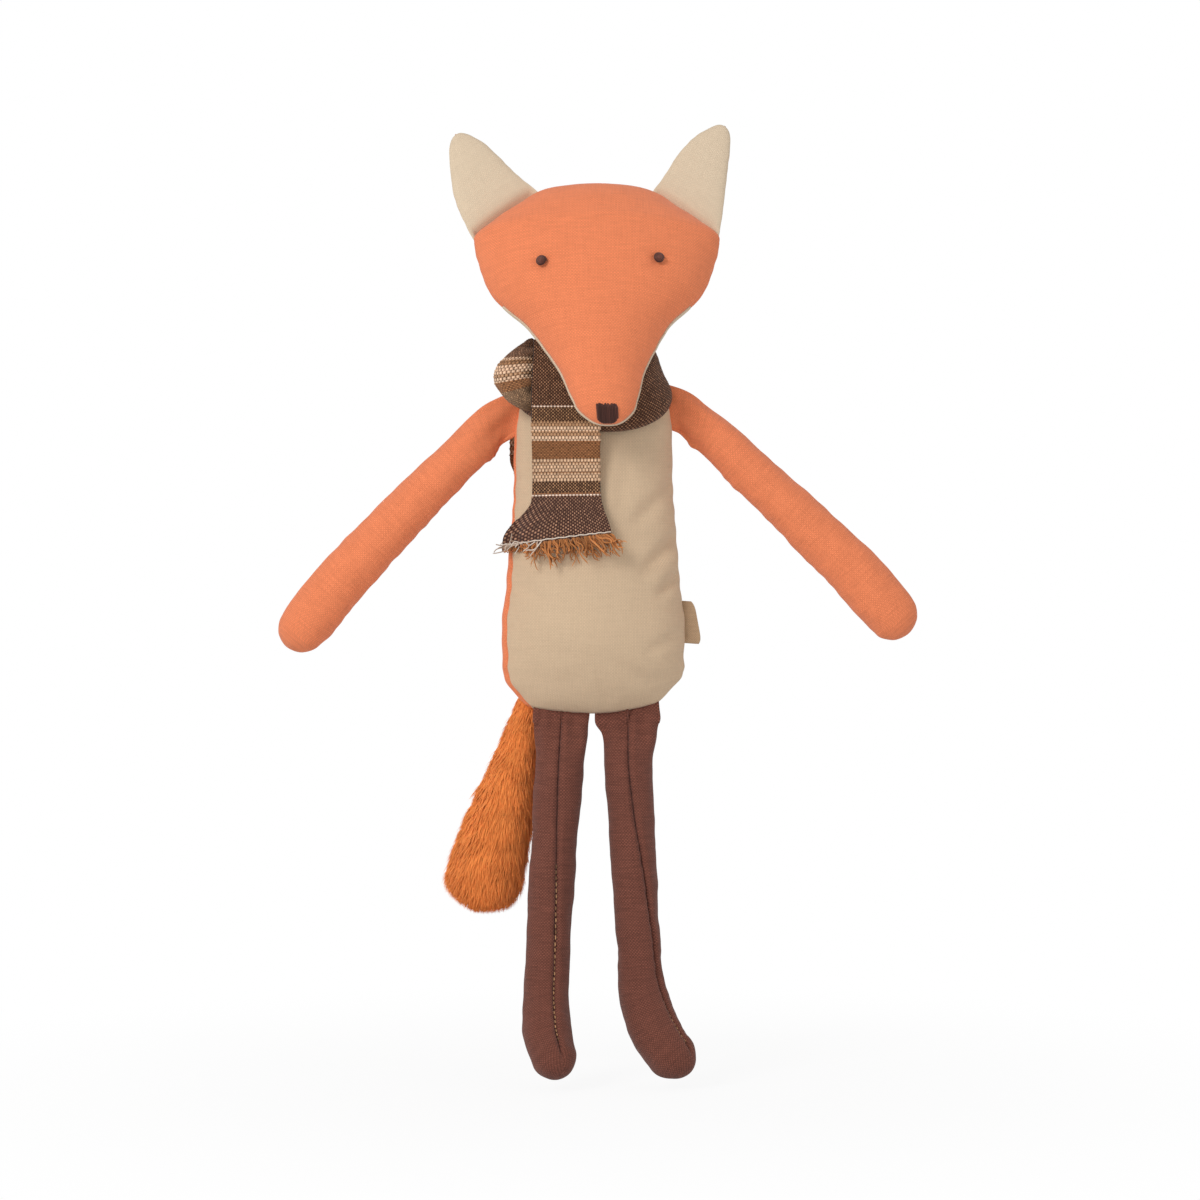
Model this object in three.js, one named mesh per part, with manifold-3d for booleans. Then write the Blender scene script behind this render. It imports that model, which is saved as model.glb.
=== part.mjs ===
// A sewn and stuffed linen fox with long limbs, a fur tail and a woven scarf.
// Sizes are in millimetres. X is the viewer's right and the toy's left, Y points to its back, Z up.
// The origin is in the middle of the trunk, where a hand holds it.
import * as THREE from "three";
import { mergeVertices } from "three/addons/utils/BufferGeometryUtils.js";
import Module from "manifold-3d";

const wasm = await Module();
wasm.setup();

// Cloth and sewing
const clothThickness = 0.9;
const sewingGap = 0.3;
const swingGap = 0.8;
const restCut = 0.9;

// Trunk
const trunkHeight = 130;
const trunkWidth = 69;
const trunkDepth = 42;
const gripHeight = 59.5;
const sideSeamTurn = THREE.MathUtils.degToRad(20);
const neckWidth = 25;
const neckDepth = 12;
const neckLength = 18;
const neckLean = 6;

// Head
const headHeight = 99.5;
const headWidth = 92;
const headDepth = 40;
const snoutSkew = 4;
const headShift = 1.2;
const headTilt = THREE.MathUtils.degToRad(22);
const earLengths = { left: 41.5, right: 39.5 };
const earThickness = 5;
const earRoot = 5;
const earBows = { left: 0.4, right: 3 };
const earLeans = {
  left: THREE.MathUtils.degToRad(21),
  right: THREE.MathUtils.degToRad(27),
};
const eyeDiameter = 4.4;
const eyeHeight = 1.7;
const eyeSpread = 22;
const noseWidth = 8.2;
const noseHeight = 7;
const noseThickness = 0.8;

// Limbs
const armThickness = 19;
const armReaches = { left: 92.5, right: 89 };
const armDrops = { left: 82.5, right: 87.5 };
const armBendReaches = { left: 29.5, right: 27.7 };
const armBendDrops = { left: 15, right: 17.5 };
const armTuck = 1.2;
const legThickness = 18.6;
const legLength = 137.5;
const legSpacing = 24;
const legSplay = THREE.MathUtils.degToRad(3.2);
const footForward = 20;
const toeTurns = {
  left: THREE.MathUtils.degToRad(55),
  right: THREE.MathUtils.degToRad(22),
};
const limbTuck = 5;

// Tail
const tailThickness = 30;
const tailDrop = 85;
const tailSway = 24;
const tailRootSide = 22;
const tailRootRise = 9.5;
const tailSetBack = 7.5;
const tailTuck = 0.6;

// Scarf
const scarfCloth = 1.4;
const wrapWidth = 45;
const wrapDepth = 30;
const wrapForward = 3;
const wrapBelowShoulder = 3.5;
const wrapFrontDrop = 8.5;
const wrapBackRise = 3;
const wrapHeight = 24;
const wrapThickness = 6.4;
const wrapLean = THREE.MathUtils.degToRad(22);
const knotWidth = 18;
const knotHeight = 28.5;
const knotDepth = 15;
const knotSide = 28;
const frontEndWidth = 25;
const frontEndLeftFlare = 10;
const frontEndRightFlare = 3.4;
const frontEndSide = 10.1;
const frontEndLength = 41;
const frontUpperLength = 26;
const backEndWidth = 24;
const backEndLength = 58;
const backEndSide = 20;
const fringeLength = 9;
const fringeThickness = 1;

// Side label
const labelHeight = 15.8;
const labelReach = 6;
const labelThickness = 1.4;
const labelBelowGrip = 25;

const fineAround = 16;
const limbAround = 10;

// Rows of [place along, half width, half depth], each a share of the size that it follows.
const trunkShares = [
  [0, 0.7, 0],
  [0.013, 0.76, 0.2],
  [0.04, 0.83, 0.4],
  [0.09, 0.915, 0.63],
  [0.155, 0.975, 0.84],
  [0.25, 1, 0.99],
  [0.36, 0.95, 1],
  [0.5, 0.91, 0.95],
  [0.66, 0.868, 0.88],
  [0.8, 0.862, 0.8],
  [0.87, 0.835, 0.71],
  [0.915, 0.74, 0.62],
  [0.955, 0.57, 0.54],
  [0.985, 0.42, 0.47],
];
const neckShares = [0.3, 0.65, 1];
const tailBendShare = 0.32;
const toothShares = [0.15, 0.75];
const headShares = [
  [0, 0.07, 0],
  [0.02, 0.15, 0.2],
  [0.06, 0.225, 0.34],
  [0.145, 0.285, 0.46],
  [0.23, 0.346, 0.57],
  [0.32, 0.46, 0.7],
  [0.4, 0.575, 0.81],
  [0.49, 0.759, 0.91],
  [0.56, 0.87, 0.97],
  [0.66, 0.95, 1],
  [0.768, 1, 0.95],
  [0.84, 0.852, 0.83],
  [0.9, 0.68, 0.68],
  [0.955, 0.53, 0.46],
  [0.985, 0.4, 0.24],
  [1, 0.2, 0],
];
const earShares = [
  [0, 1, 0.3],
  [0.13, 1, 0.5],
  [0.28, 0.95, 0.8],
  [0.42, 0.87, 0.95],
  [0.55, 0.76, 1],
  [0.67, 0.64, 1],
  [0.78, 0.52, 0.92],
  [0.87, 0.4, 0.8],
  [0.94, 0.29, 0.6],
  [0.985, 0.16, 0.3],
  [1, 0.06, 0],
];
const armShares = [
  [0, 1.04, 0.08],
  [0.04, 1.04, 0.09],
  [0.09, 1, 0.32],
  [0.14, 0.94, 0.64],
  [0.2, 0.91, 0.88],
  [0.4, 0.94, 0.94],
  [0.62, 0.97, 0.97],
  [0.86, 1, 1],
  [0.94, 0.9, 0.9],
  [0.98, 0.62, 0.62],
  [1, 0, 0],
];
const legShares = [
  [0, 0.08, 1.1],
  [0.045, 0.09, 1.13],
  [0.085, 0.36, 1.1],
  [0.14, 0.76, 1.0],
  [0.24, 0.94, 0.95],
  [0.45, 0.94, 0.93],
  [0.66, 0.91, 0.9],
  [0.77, 0.97, 0.94],
  [0.87, 1.04, 1.0],
  [0.94, 0.97, 0.94],
  [0.982, 0.62, 0.6],
  [1, 0, 0],
];
const tailShares = [
  [0, 0.22, 0.05],
  [0.03, 0.23, 0.06],
  [0.09, 0.32, 0.24],
  [0.17, 0.44, 0.41],
  [0.34, 0.62, 0.61],
  [0.52, 0.8, 0.8],
  [0.7, 0.94, 0.94],
  [0.85, 1, 1],
  [0.93, 0.87, 0.87],
  [0.98, 0.55, 0.55],
  [1, 0, 0],
];
const knotShares = [
  [0, 0.2],
  [0.1, 0.6],
  [0.3, 0.95],
  [0.5, 1],
  [0.72, 0.82],
  [0.9, 0.5],
  [1, 0.2],
];
const seamPinch = 1.12;
const headNeckShare = 0.46;
const neckSeamShare = 0.54;
const chinShare = 0.5;
const eyeShare = 0.61;
const earLowShare = 0.775;
const earHighShare = 0.965;
const hipShare = -0.004;
const shoulderShare = 0.865;
const labelTopShare = 0.86;

function linen(colour) {
  return new THREE.MeshStandardMaterial({ color: colour, roughness: 0.95, metalness: 0 });
}
const orangeLinen = linen(0xec8553);
const creamLinen = linen(0xd6bf9c);
const brownLinen = linen(0x6e4036);
const fibreFill = linen(0xf3f1ea);
const orangeFur = linen(0xd9772e);
const darkThread = linen(0x2e1c18);
const wovenScarf = linen(0x5f4638);
const fringeYarn = linen(0xa9794a);
const labelTape = linen(0xc9a98a);

// Meshes, solids and booleans

// Six times the volume that corner triples enclose, negative when their faces point inwards.
function signedVolume(corners) {
  let sum = 0;
  for (let i = 0; i < corners.length; i += 3) {
    sum += corners[i].dot(corners[i + 1].clone().cross(corners[i + 2]));
  }
  return sum;
}

// One closed geometry from corner triples: faces out, equal corners merged, collapsed faces dropped.
function closedGeometry(corners) {
  const outward = signedVolume(corners) < 0 ? [...corners].reverse() : corners;
  const loose = new THREE.BufferGeometry();
  const coordinates = outward.flatMap((p) => [p.x, p.y, p.z]);
  loose.setAttribute("position", new THREE.Float32BufferAttribute(coordinates, 3));
  const merged = mergeVertices(loose, 1e-4);
  const index = [];
  for (let i = 0; i < merged.index.count; i += 3) {
    const face = [0, 1, 2].map((k) => merged.index.getX(i + k));
    if (new Set(face).size === 3) index.push(...face);
  }
  merged.setIndex(index);
  return merged;
}

function solidOf(geometry) {
  const triVerts = new Uint32Array(geometry.index.array);
  const vertProperties = geometry.getAttribute("position").array;
  return new wasm.Manifold(new wasm.Mesh({ numProp: 3, vertProperties, triVerts }));
}

// A closed geometry from one of three's own shapes, without its normals and texture places.
function plain(geometry) {
  const bare = geometry.index ? geometry.toNonIndexed() : geometry;
  const places = bare.getAttribute("position");
  const cornerAt = (_, i) => new THREE.Vector3().fromBufferAttribute(places, i);
  const corners = Array.from({ length: places.count }, cornerAt);
  return closedGeometry(corners);
}

// The largest body of a solid, because a cut can leave crumbs behind.
function geometryOf(solid) {
  const bodies = solid.decompose().sort((p, q) => q.volume() - p.volume());
  const mesh = bodies[0].getMesh();
  const geometry = new THREE.BufferGeometry();
  const places = new Float32Array(mesh.numVert * 3);
  for (let i = 0; i < mesh.numVert; i++) {
    places.set(mesh.vertProperties.subarray(i * mesh.numProp, i * mesh.numProp + 3), i * 3);
  }
  geometry.setAttribute("position", new THREE.BufferAttribute(places, 3));
  geometry.setIndex(new THREE.BufferAttribute(mesh.triVerts, 1));
  return geometry;
}

// A geometry less each tool. Tools are solids in the same frame.
function cutBy(geometry, ...tools) {
  return geometryOf(tools.reduce((left, tool) => left.subtract(tool), solidOf(geometry)));
}

function moved(geometry, matrix) {
  return geometry.clone().applyMatrix4(matrix);
}

// Sewn forms

// A size drawn in by an inset, without turning thin ends inside out. A negative inset swells it.
function drawnIn(size, inset) {
  return inset <= 0 ? size - inset : size - inset * Math.min(1, size / (3 * inset));
}

// The oval sections of a form, drawn in by an inset. An open root keeps its first section's place.
function sectionsOf(form, inset = 0) {
  const pull = inset / form.length;
  return form.rows.map(([along, across, deep]) => {
    const rootPull = form.openRoot ? 0 : pull;
    const place = form.place(rootPull + along * (1 - rootPull - pull));
    return { ...place, across: drawnIn(across, inset), deep: drawnIn(deep, inset) };
  });
}

// The point of a section at an angle: 0 and 180 degrees are the two seams.
function ovalPoint(section, angle, lift = 0) {
  const rise = Math.sin(angle);
  const height = Math.sign(rise) * Math.abs(rise) ** seamPinch;
  return section.middle
    .clone()
    .addScaledVector(section.acrossWay, section.across * Math.cos(angle))
    .addScaledVector(section.deepWay, section.deep * height + lift);
}

function gridOf(sections, angles, lift = 0) {
  return sections.map((section) => angles.map((angle) => ovalPoint(section, angle, lift)));
}

function anglesBetween(from, to, steps) {
  return Array.from({ length: steps + 1 }, (_, i) => from + ((to - from) * i) / steps);
}

// The angles of a form's two panels, from seam to seam.
function panelAngles(form, around) {
  const seam = Math.PI - (form.seamTurn ?? 0);
  return [anglesBetween(0, seam, around / 2), anglesBetween(seam, 2 * Math.PI, around / 2)];
}

function quad(corners, a, b, c, d) {
  corners.push(a, b, c, a, c, d);
}

function stitchRows(corners, rowA, rowB, flip = false) {
  for (let j = 0; j + 1 < rowA.length; j++) {
    if (flip) quad(corners, rowA[j], rowB[j], rowB[j + 1], rowA[j + 1]);
    else quad(corners, rowA[j], rowA[j + 1], rowB[j + 1], rowB[j]);
  }
}

function stitchGrid(corners, grid, flip = false) {
  for (let i = 0; i + 1 < grid.length; i++) stitchRows(corners, grid[i], grid[i + 1], flip);
}

function capRow(corners, row, flip = false) {
  const total = row.slice(1).reduce((sum, p) => sum.add(p), new THREE.Vector3());
  const middle = total.divideScalar(row.length - 1);
  for (let j = 0; j + 1 < row.length; j++) {
    if (flip) corners.push(middle, row[j], row[j + 1]);
    else corners.push(middle, row[j + 1], row[j]);
  }
}

// A solid form, such as stuffing or a cutting tool.
function fullForm(form, { inset = 0, around = fineAround } = {}) {
  const [front, back] = panelAngles(form, around);
  const grid = gridOf(sectionsOf(form, inset), [...front, ...back.slice(1)]);
  grid.forEach((row) => (row[around] = row[0]));
  const corners = [];
  stitchGrid(corners, grid);
  capRow(corners, grid[0]);
  capRow(corners, grid.at(-1), true);
  return closedGeometry(corners);
}

// A sewn tube with an open root: a cup whose wall is one cloth thick.
function sleeve(form, { wall = clothThickness, around = limbAround } = {}) {
  const angles = anglesBetween(0, 2 * Math.PI, around);
  const outer = gridOf(sectionsOf(form), angles);
  const inner = gridOf(sectionsOf(form, wall), angles);
  [...outer, ...inner].forEach((row) => (row[around] = row[0]));
  const corners = [];
  stitchGrid(corners, outer);
  stitchGrid(corners, inner, true);
  stitchRows(corners, inner[0], outer[0]);
  return closedGeometry(corners);
}

// One cloth panel of a form, between two seams. side is 1 or -1, and rows picks a stretch of the form.
function panel(form, side, options = {}) {
  const { wall = clothThickness, around = fineAround, rows = [0, form.rows.length - 1] } = options;
  const angles = panelAngles(form, around)[side > 0 ? 0 : 1];
  const lift = (side * sewingGap) / 2;
  const picked = (sections) => sections.slice(rows[0], rows[1] + 1);
  const outer = gridOf(picked(sectionsOf(form)), angles, lift);
  const inner = gridOf(picked(sectionsOf(form, wall)), angles, lift);
  const column = (grid, j) => grid.map((row) => row[j]);
  const corners = [];
  stitchGrid(corners, outer);
  stitchGrid(corners, inner, true);
  stitchRows(corners, inner[0], outer[0]);
  stitchRows(corners, outer.at(-1), inner.at(-1));
  stitchRows(corners, column(outer, 0), column(inner, 0));
  stitchRows(corners, column(inner, around / 2), column(outer, around / 2));
  return closedGeometry(corners);
}

// The filling of a form, from one of its rows on.
function stuffingOf(form, firstRow, around = fineAround) {
  const filled = { ...form, rows: form.rows.slice(firstRow) };
  return fullForm(filled, { inset: clothThickness + sewingGap, around });
}

// A form along a curve: shares below the root share run straight back into what carries it.
function alongCurve(curve, rootShare, frameAt) {
  const length = curve.getLength();
  return (share) => {
    const along = (share - rootShare) / (1 - rootShare);
    const clamped = THREE.MathUtils.clamp(along, 0, 1);
    const tangent = curve.getTangentAt(clamped);
    const middle = curve.getPointAt(clamped).addScaledVector(tangent, (along - clamped) * length);
    return { middle, ...frameAt(tangent, clamped) };
  };
}

const right = new THREE.Vector3(1, 0, 0);
const forward = new THREE.Vector3(0, -1, 0);
const up = new THREE.Vector3(0, 0, 1);

// Trunk

const trunkBottom = -gripHeight;
const shoulderLevel = trunkBottom + trunkHeight;
const neckTop = shoulderLevel + neckLength;
const trunkForm = {
  length: trunkHeight + neckLength,
  seamTurn: sideSeamTurn,
  rows: [
    ...trunkShares.map(([along, across, deep]) => [
      (along * trunkHeight) / (trunkHeight + neckLength),
      (across * trunkWidth) / 2,
      (deep * trunkDepth) / 2,
    ]),
    ...neckShares.map((along) => [
      (trunkHeight + along * neckLength) / (trunkHeight + neckLength),
      neckWidth / 2,
      neckDepth / 2,
    ]),
  ],
  place: (share) => {
    const z = trunkBottom + share * (trunkHeight + neckLength);
    const y = -neckLean * Math.max(0, (z - shoulderLevel) / neckLength);
    return { middle: new THREE.Vector3(0, y, z), acrossWay: right, deepWay: forward };
  },
};

function between(rows, place, column) {
  const next = Math.max(1, rows.findIndex((row) => row[0] >= place));
  const [low, high] = [rows[next - 1], rows[next]];
  return THREE.MathUtils.mapLinear(place, low[0], high[0], low[column], high[column]);
}

// The trunk's half width at a height, and its half depth there at a distance from the middle.
function trunkHalfWidth(z) {
  return (between(trunkShares, (z - trunkBottom) / trunkHeight, 1) * trunkWidth) / 2;
}

function trunkHalfDepth(x, z) {
  const middle = (between(trunkShares, (z - trunkBottom) / trunkHeight, 2) * trunkDepth) / 2;
  const share = Math.min(1, Math.abs(x) / trunkHalfWidth(z));
  return middle * (1 - share * share) ** (seamPinch / 2);
}

const trunkTool = solidOf(fullForm(trunkForm, { inset: -sewingGap }));
const swingTool = solidOf(fullForm(trunkForm, { inset: -swingGap }));

// Head: built upright on its nose, then tilted so that its back meets the neck

function headCentre(share) {
  return snoutSkew * Math.max(0, 1 - share / headNeckShare);
}

const headForm = {
  length: headHeight,
  rows: headShares.map(([along, across, deep]) => [along, (across * headWidth) / 2, (deep * headDepth) / 2]),
  place: (share) => ({
    middle: new THREE.Vector3(headCentre(share), 0, share * headHeight),
    acrossWay: right,
    deepWay: forward,
  }),
};

function headHalf(share, column) {
  return (between(headShares, share, column) * (column === 1 ? headWidth : headDepth)) / 2;
}

const headTurn = new THREE.Matrix4().makeRotationX(-headTilt);
const headPivotInHead = new THREE.Vector3(0, headHalf(neckSeamShare, 2), neckSeamShare * headHeight);
const headPivot = new THREE.Vector3(headShift, neckDepth / 2 - neckLean, neckTop);
const headMatrix = new THREE.Matrix4()
  .makeTranslation(headPivot.clone().sub(headPivotInHead.clone().applyMatrix4(headTurn)))
  .multiply(headTurn);
const headToolInHead = solidOf(fullForm(headForm, { inset: -sewingGap }));
const headTool = solidOf(moved(fullForm(headForm, { inset: -sewingGap }), headMatrix));

function earForm(name, side) {
  const [lean, bow] = [earLeans[name], earBows[name]];
  const corner = (share) => new THREE.Vector3(side * headHalf(share, 1), 0, share * headHeight);
  const [low, high] = [corner(earLowShare), corner(earHighShare)];
  const across = high.clone().sub(low).multiplyScalar(-side);
  const axis = new THREE.Vector3(side * Math.sin(lean), 0, Math.cos(lean));
  const root = low.clone().add(high).divideScalar(2).addScaledVector(axis, -earRoot);
  const length = earLengths[name] + earRoot;
  return {
    length,
    rows: earShares.map(([along, wide, deep]) => [
      along,
      (wide * across.length()) / 2,
      (deep * earThickness) / 2,
    ]),
    place: (share) => {
      const middle = root.clone().addScaledVector(axis, share * length);
      middle.x += side * bow * Math.sin(Math.PI * share);
      return { middle, acrossWay: across.clone().normalize(), deepWay: forward };
    },
  };
}

// An eye is a small domed knot of thread that sits on the face.
function eyeGeometry(x) {
  const bead = plain(new THREE.SphereGeometry(eyeDiameter / 2, 12, 8));
  bead.scale(1, eyeHeight / (eyeDiameter / 2), 1);
  const level = eyeShare * headHeight;
  const share = Math.abs(x) / headHalf(eyeShare, 1);
  const front = headHalf(eyeShare, 2) * (1 - share * share) ** (seamPinch / 2);
  bead.translate(x, -front, level);
  return cutBy(bead, headToolInHead);
}

// The nose is a patch of satin stitch that wraps the tip of the snout.
function noseGeometry() {
  const block = plain(new THREE.BoxGeometry(noseWidth, headDepth, noseHeight + noseThickness));
  block.translate(headCentre(0), -headDepth / 2 + clothThickness, (noseHeight - noseThickness * 3) / 2);
  const swollen = solidOf(fullForm(headForm, { inset: -sewingGap - noseThickness }));
  return geometryOf(solidOf(block).intersect(swollen).subtract(headToolInHead));
}

// Limbs

const armLevel = trunkBottom + shoulderShare * trunkHeight;
const armRootX = trunkHalfWidth(armLevel);

// An arm leaves the side seam as a flat, upright root, so that it can swing about the seam.
function armForm(name, side) {
  const shoulder = new THREE.Vector3(side * armRootX, 0, armLevel);
  const curve = new THREE.QuadraticBezierCurve3(
    shoulder,
    shoulder.clone().add(new THREE.Vector3(side * armBendReaches[name], 0, -armBendDrops[name])),
    shoulder.clone().add(new THREE.Vector3(side * armReaches[name], 0, -armDrops[name])),
  );
  const length = curve.getLength() + armTuck;
  return {
    length,
    openRoot: true,
    rows: armShares.map(([along, across, deep]) => [
      along,
      (across * armThickness) / 2,
      (deep * armThickness) / 2,
    ]),
    place: alongCurve(curve, armTuck / length, (tangent, share) => {
      const level = tangent.clone().cross(forward).multiplyScalar(-side);
      const acrossWay = up.clone().lerp(level, THREE.MathUtils.smoothstep(share, 0, 0.2)).normalize();
      return { acrossWay, deepWay: forward };
    }),
  };
}

const hipLevel = trunkBottom + hipShare * trunkHeight;

// A leg hangs from the trunk's bottom seam, turns out as it goes down and ends in a foot that points forward.
function legForm(side, toeTurn) {
  const hip = new THREE.Vector3((side * legSpacing) / 2, 0, hipLevel);
  const toeWay = forward.clone().applyAxisAngle(up, toeTurn);
  const down = (share, ahead) =>
    hip
      .clone()
      .add(new THREE.Vector3(side * Math.sin(legSplay) * legLength * share, 0, -legLength * share))
      .addScaledVector(toeWay, footForward * ahead);
  const curve = new THREE.CatmullRomCurve3(
    [down(0, 0), down(0.3, 0), down(0.6, 0), down(0.76, 0.06), down(0.88, 0.45), down(0.965, 1)],
    false,
    "centripetal",
  );
  const length = curve.getLength() + limbTuck;
  return {
    length,
    openRoot: true,
    rows: legShares.map(([along, deep, across]) => [
      along,
      (deep * legThickness) / 2,
      (across * legThickness) / 2,
    ]),
    place: alongCurve(curve, limbTuck / length, (tangent, share) => {
      const turn = toeTurn * THREE.MathUtils.smoothstep(share, 0.1, 0.75);
      const sideways = right.clone().applyAxisAngle(up, turn);
      const deepWay = sideways.addScaledVector(tangent, -sideways.dot(tangent)).normalize();
      return { acrossWay: tangent.clone().cross(deepWay).normalize(), deepWay };
    }),
  };
}

// The tail hangs from the lower back and leans aside. Its flat root lets it swing up and back.
function tailForm() {
  const level = trunkBottom + tailRootRise;
  const root = new THREE.Vector3(-tailRootSide, trunkHalfDepth(tailRootSide, level), level);
  const curve = new THREE.QuadraticBezierCurve3(
    root,
    root.clone().add(new THREE.Vector3(-tailBendShare * tailSway, tailSetBack, -tailDrop / 3)),
    root.clone().add(new THREE.Vector3(-tailSway, tailSetBack, -tailDrop)),
  );
  const length = curve.getLength() + tailTuck;
  return {
    length,
    openRoot: true,
    rows: tailShares.map(([along, across, deep]) => [
      along,
      (across * tailThickness) / 2,
      (deep * tailThickness) / 2,
    ]),
    place: alongCurve(curve, tailTuck / length, (tangent) => ({
      acrossWay: tangent.clone().cross(forward).normalize(),
      deepWay: forward,
    })),
  };
}

// Scarf

const wrapLevel = shoulderLevel - wrapBelowShoulder;

function wrapGeometry(inset = 0) {
  const steps = 20;
  const sections = Array.from({ length: steps }, (_, i) => {
    const turn = (2 * Math.PI * i) / steps;
    const outward = new THREE.Vector3(Math.cos(turn), Math.sin(turn), 0);
    const rise = Math.sin(turn) * (Math.sin(turn) > 0 ? wrapBackRise : wrapFrontDrop);
    const middle = new THREE.Vector3(
      (wrapWidth / 2) * Math.cos(turn),
      (wrapDepth / 2) * Math.sin(turn) - wrapForward,
      wrapLevel + rise,
    );
    const lean = wrapLean * Math.abs(Math.cos(turn));
    const acrossWay = up.clone().multiplyScalar(Math.cos(lean)).addScaledVector(outward, -Math.sin(lean));
    const deepWay = outward.clone().multiplyScalar(Math.cos(lean)).addScaledVector(up, Math.sin(lean));
    return { middle, acrossWay, deepWay, across: wrapHeight / 2 - inset, deep: wrapThickness / 2 - inset };
  });
  const grid = gridOf([...sections, sections[0]], anglesBetween(0, 2 * Math.PI, 8));
  grid.forEach((row) => (row[8] = row[0]));
  grid[steps] = grid[0];
  const corners = [];
  stitchGrid(corners, grid);
  return closedGeometry(corners);
}

const wrapTool = solidOf(wrapGeometry(-sewingGap));
const wrapFront = wrapDepth / 2 + wrapForward + wrapThickness / 2;

function knotForm() {
  const base = new THREE.Vector3(-knotSide, -wrapDepth / 2, wrapLevel - knotHeight / 2);
  return {
    length: knotHeight,
    rows: knotShares.map(([along, wide]) => [along, (wide * knotWidth) / 2, (wide * knotDepth) / 2]),
    place: (share) => ({
      middle: base.clone().add(new THREE.Vector3(0, share * knotDepth * 0.5, share * knotHeight)),
      acrossWay: right,
      deepWay: forward,
    }),
  };
}

// A hanging strip of cloth: a grid of points on its middle surface, given a thickness front to back.
function hangingCloth(pointAt, columns, rows, thickness) {
  const layer = (offset) =>
    Array.from({ length: rows + 1 }, (_, i) =>
      Array.from({ length: columns + 1 }, (_, j) =>
        pointAt(j / columns, i / rows).add(new THREE.Vector3(0, offset, 0)),
      ),
    );
  const [front, back] = [layer(-thickness / 2), layer(thickness / 2)];
  const column = (grid, j) => grid.map((row) => row[j]);
  const corners = [];
  stitchGrid(corners, front);
  stitchGrid(corners, back, true);
  stitchRows(corners, back[0], front[0]);
  stitchRows(corners, front.at(-1), back.at(-1));
  stitchRows(corners, column(front, 0), column(back, 0));
  stitchRows(corners, column(back, columns), column(front, columns));
  return closedGeometry(corners);
}

const frontHingeLevel = wrapLevel - wrapFrontDrop - wrapHeight / 2 - sewingGap;
const clothLift = scarfCloth / 2 + sewingGap;

// The front end runs over the wrap and then lies on the belly, with a soft fold down its length.
function frontY(x, z) {
  const onBelly = trunkHalfDepth(x, z) + clothLift;
  const onWrap = wrapFront + clothLift;
  const share = THREE.MathUtils.smoothstep(z, frontHingeLevel - wrapHeight, frontHingeLevel);
  const fold = (scarfCloth / 2) * (1 + Math.sin((x / frontEndWidth) * 3 * Math.PI)) * (1 - share);
  return -THREE.MathUtils.lerp(onBelly + fold, onWrap, share);
}

function frontStrip(top, bottom, flares, rows) {
  return hangingCloth(
    (u, v) => {
      const z = THREE.MathUtils.lerp(top, bottom, v);
      const spread = THREE.MathUtils.lerp(-flares[0], flares[1], u) * v ** 4;
      const x = -frontEndSide + (u - 0.5) * frontEndWidth + spread;
      return new THREE.Vector3(x, frontY(x, z), z);
    },
    6,
    rows,
    scarfCloth,
  );
}

const backHingeLevel = wrapLevel - wrapHeight / 4;

function backY(x, z) {
  const touching = trunkHalfDepth(-backEndSide + backEndWidth / 2, z) + clothLift;
  const fold = scarfCloth * (1 + Math.cos(((x + backEndSide) / backEndWidth) * 2 * Math.PI));
  return touching + fold / 2 + scarfCloth;
}

// A fringe is a comb of short yarn ends below a strip's hem.
function fringeGeometry(width, centre, level, teeth) {
  const shape = new THREE.Shape();
  const pitch = width / teeth;
  const left = centre - width / 2;
  shape.moveTo(left, level - sewingGap);
  for (let i = 0; i < teeth; i++) {
    for (const share of toothShares) shape.lineTo(left + (i + share) * pitch, level - fringeLength);
    shape.lineTo(left + (i + 1) * pitch, level - fringeLength / 3);
  }
  shape.lineTo(left + width, level - sewingGap);
  const comb = plain(new THREE.ExtrudeGeometry(shape, { depth: fringeThickness, bevelEnabled: false }));
  return comb.rotateX(Math.PI / 2).translate(0, fringeThickness / 2, 0);
}

// The label is a folded loop of tape, caught in the side seam.
function labelGeometry() {
  const level = -labelBelowGrip;
  const edge = trunkHalfWidth(level);
  const shape = new THREE.Shape();
  shape.moveTo(edge - labelReach, -labelThickness / 2);
  shape.lineTo(edge + labelReach - labelThickness / 2, -labelThickness / 2);
  const foldRadius = labelThickness / 2;
  shape.absarc(edge + labelReach - foldRadius, 0, foldRadius, -Math.PI / 2, Math.PI / 2, false);
  shape.lineTo(edge - labelReach, labelThickness / 2);
  shape.closePath();
  const options = { depth: labelHeight, bevelEnabled: false, curveSegments: 4 };
  const tape = plain(new THREE.ExtrudeGeometry(shape, options));
  tape.translate(0, 0, level - labelHeight / 2);
  return cutBy(tape, trunkTool);
}

// Assembly

const fox = new THREE.Group();
const headGroup = new THREE.Group();
headGroup.applyMatrix4(headMatrix);
fox.add(headGroup);

function add(parent, name, geometry, material) {
  const mesh = new THREE.Mesh(geometry, material);
  mesh.name = name;
  parent.add(mesh);
  return mesh;
}

// The back is pressed flat where the toy lies on it.
const restFace = trunkDepth / 2 - restCut;
const restBlock = plain(new THREE.BoxGeometry(trunkWidth, trunkDepth, trunkHeight));
const restTool = solidOf(restBlock.translate(0, restFace + trunkDepth / 2, 0));

add(fox, "body_front_panel", cutBy(panel(trunkForm, 1), headTool), creamLinen);
add(fox, "body_back_panel", cutBy(panel(trunkForm, -1), headTool, restTool), orangeLinen);
add(
  fox,
  "body_stuffing",
  cutBy(stuffingOf(trunkForm, 2), headTool, restTool),
  fibreFill,
);

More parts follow.
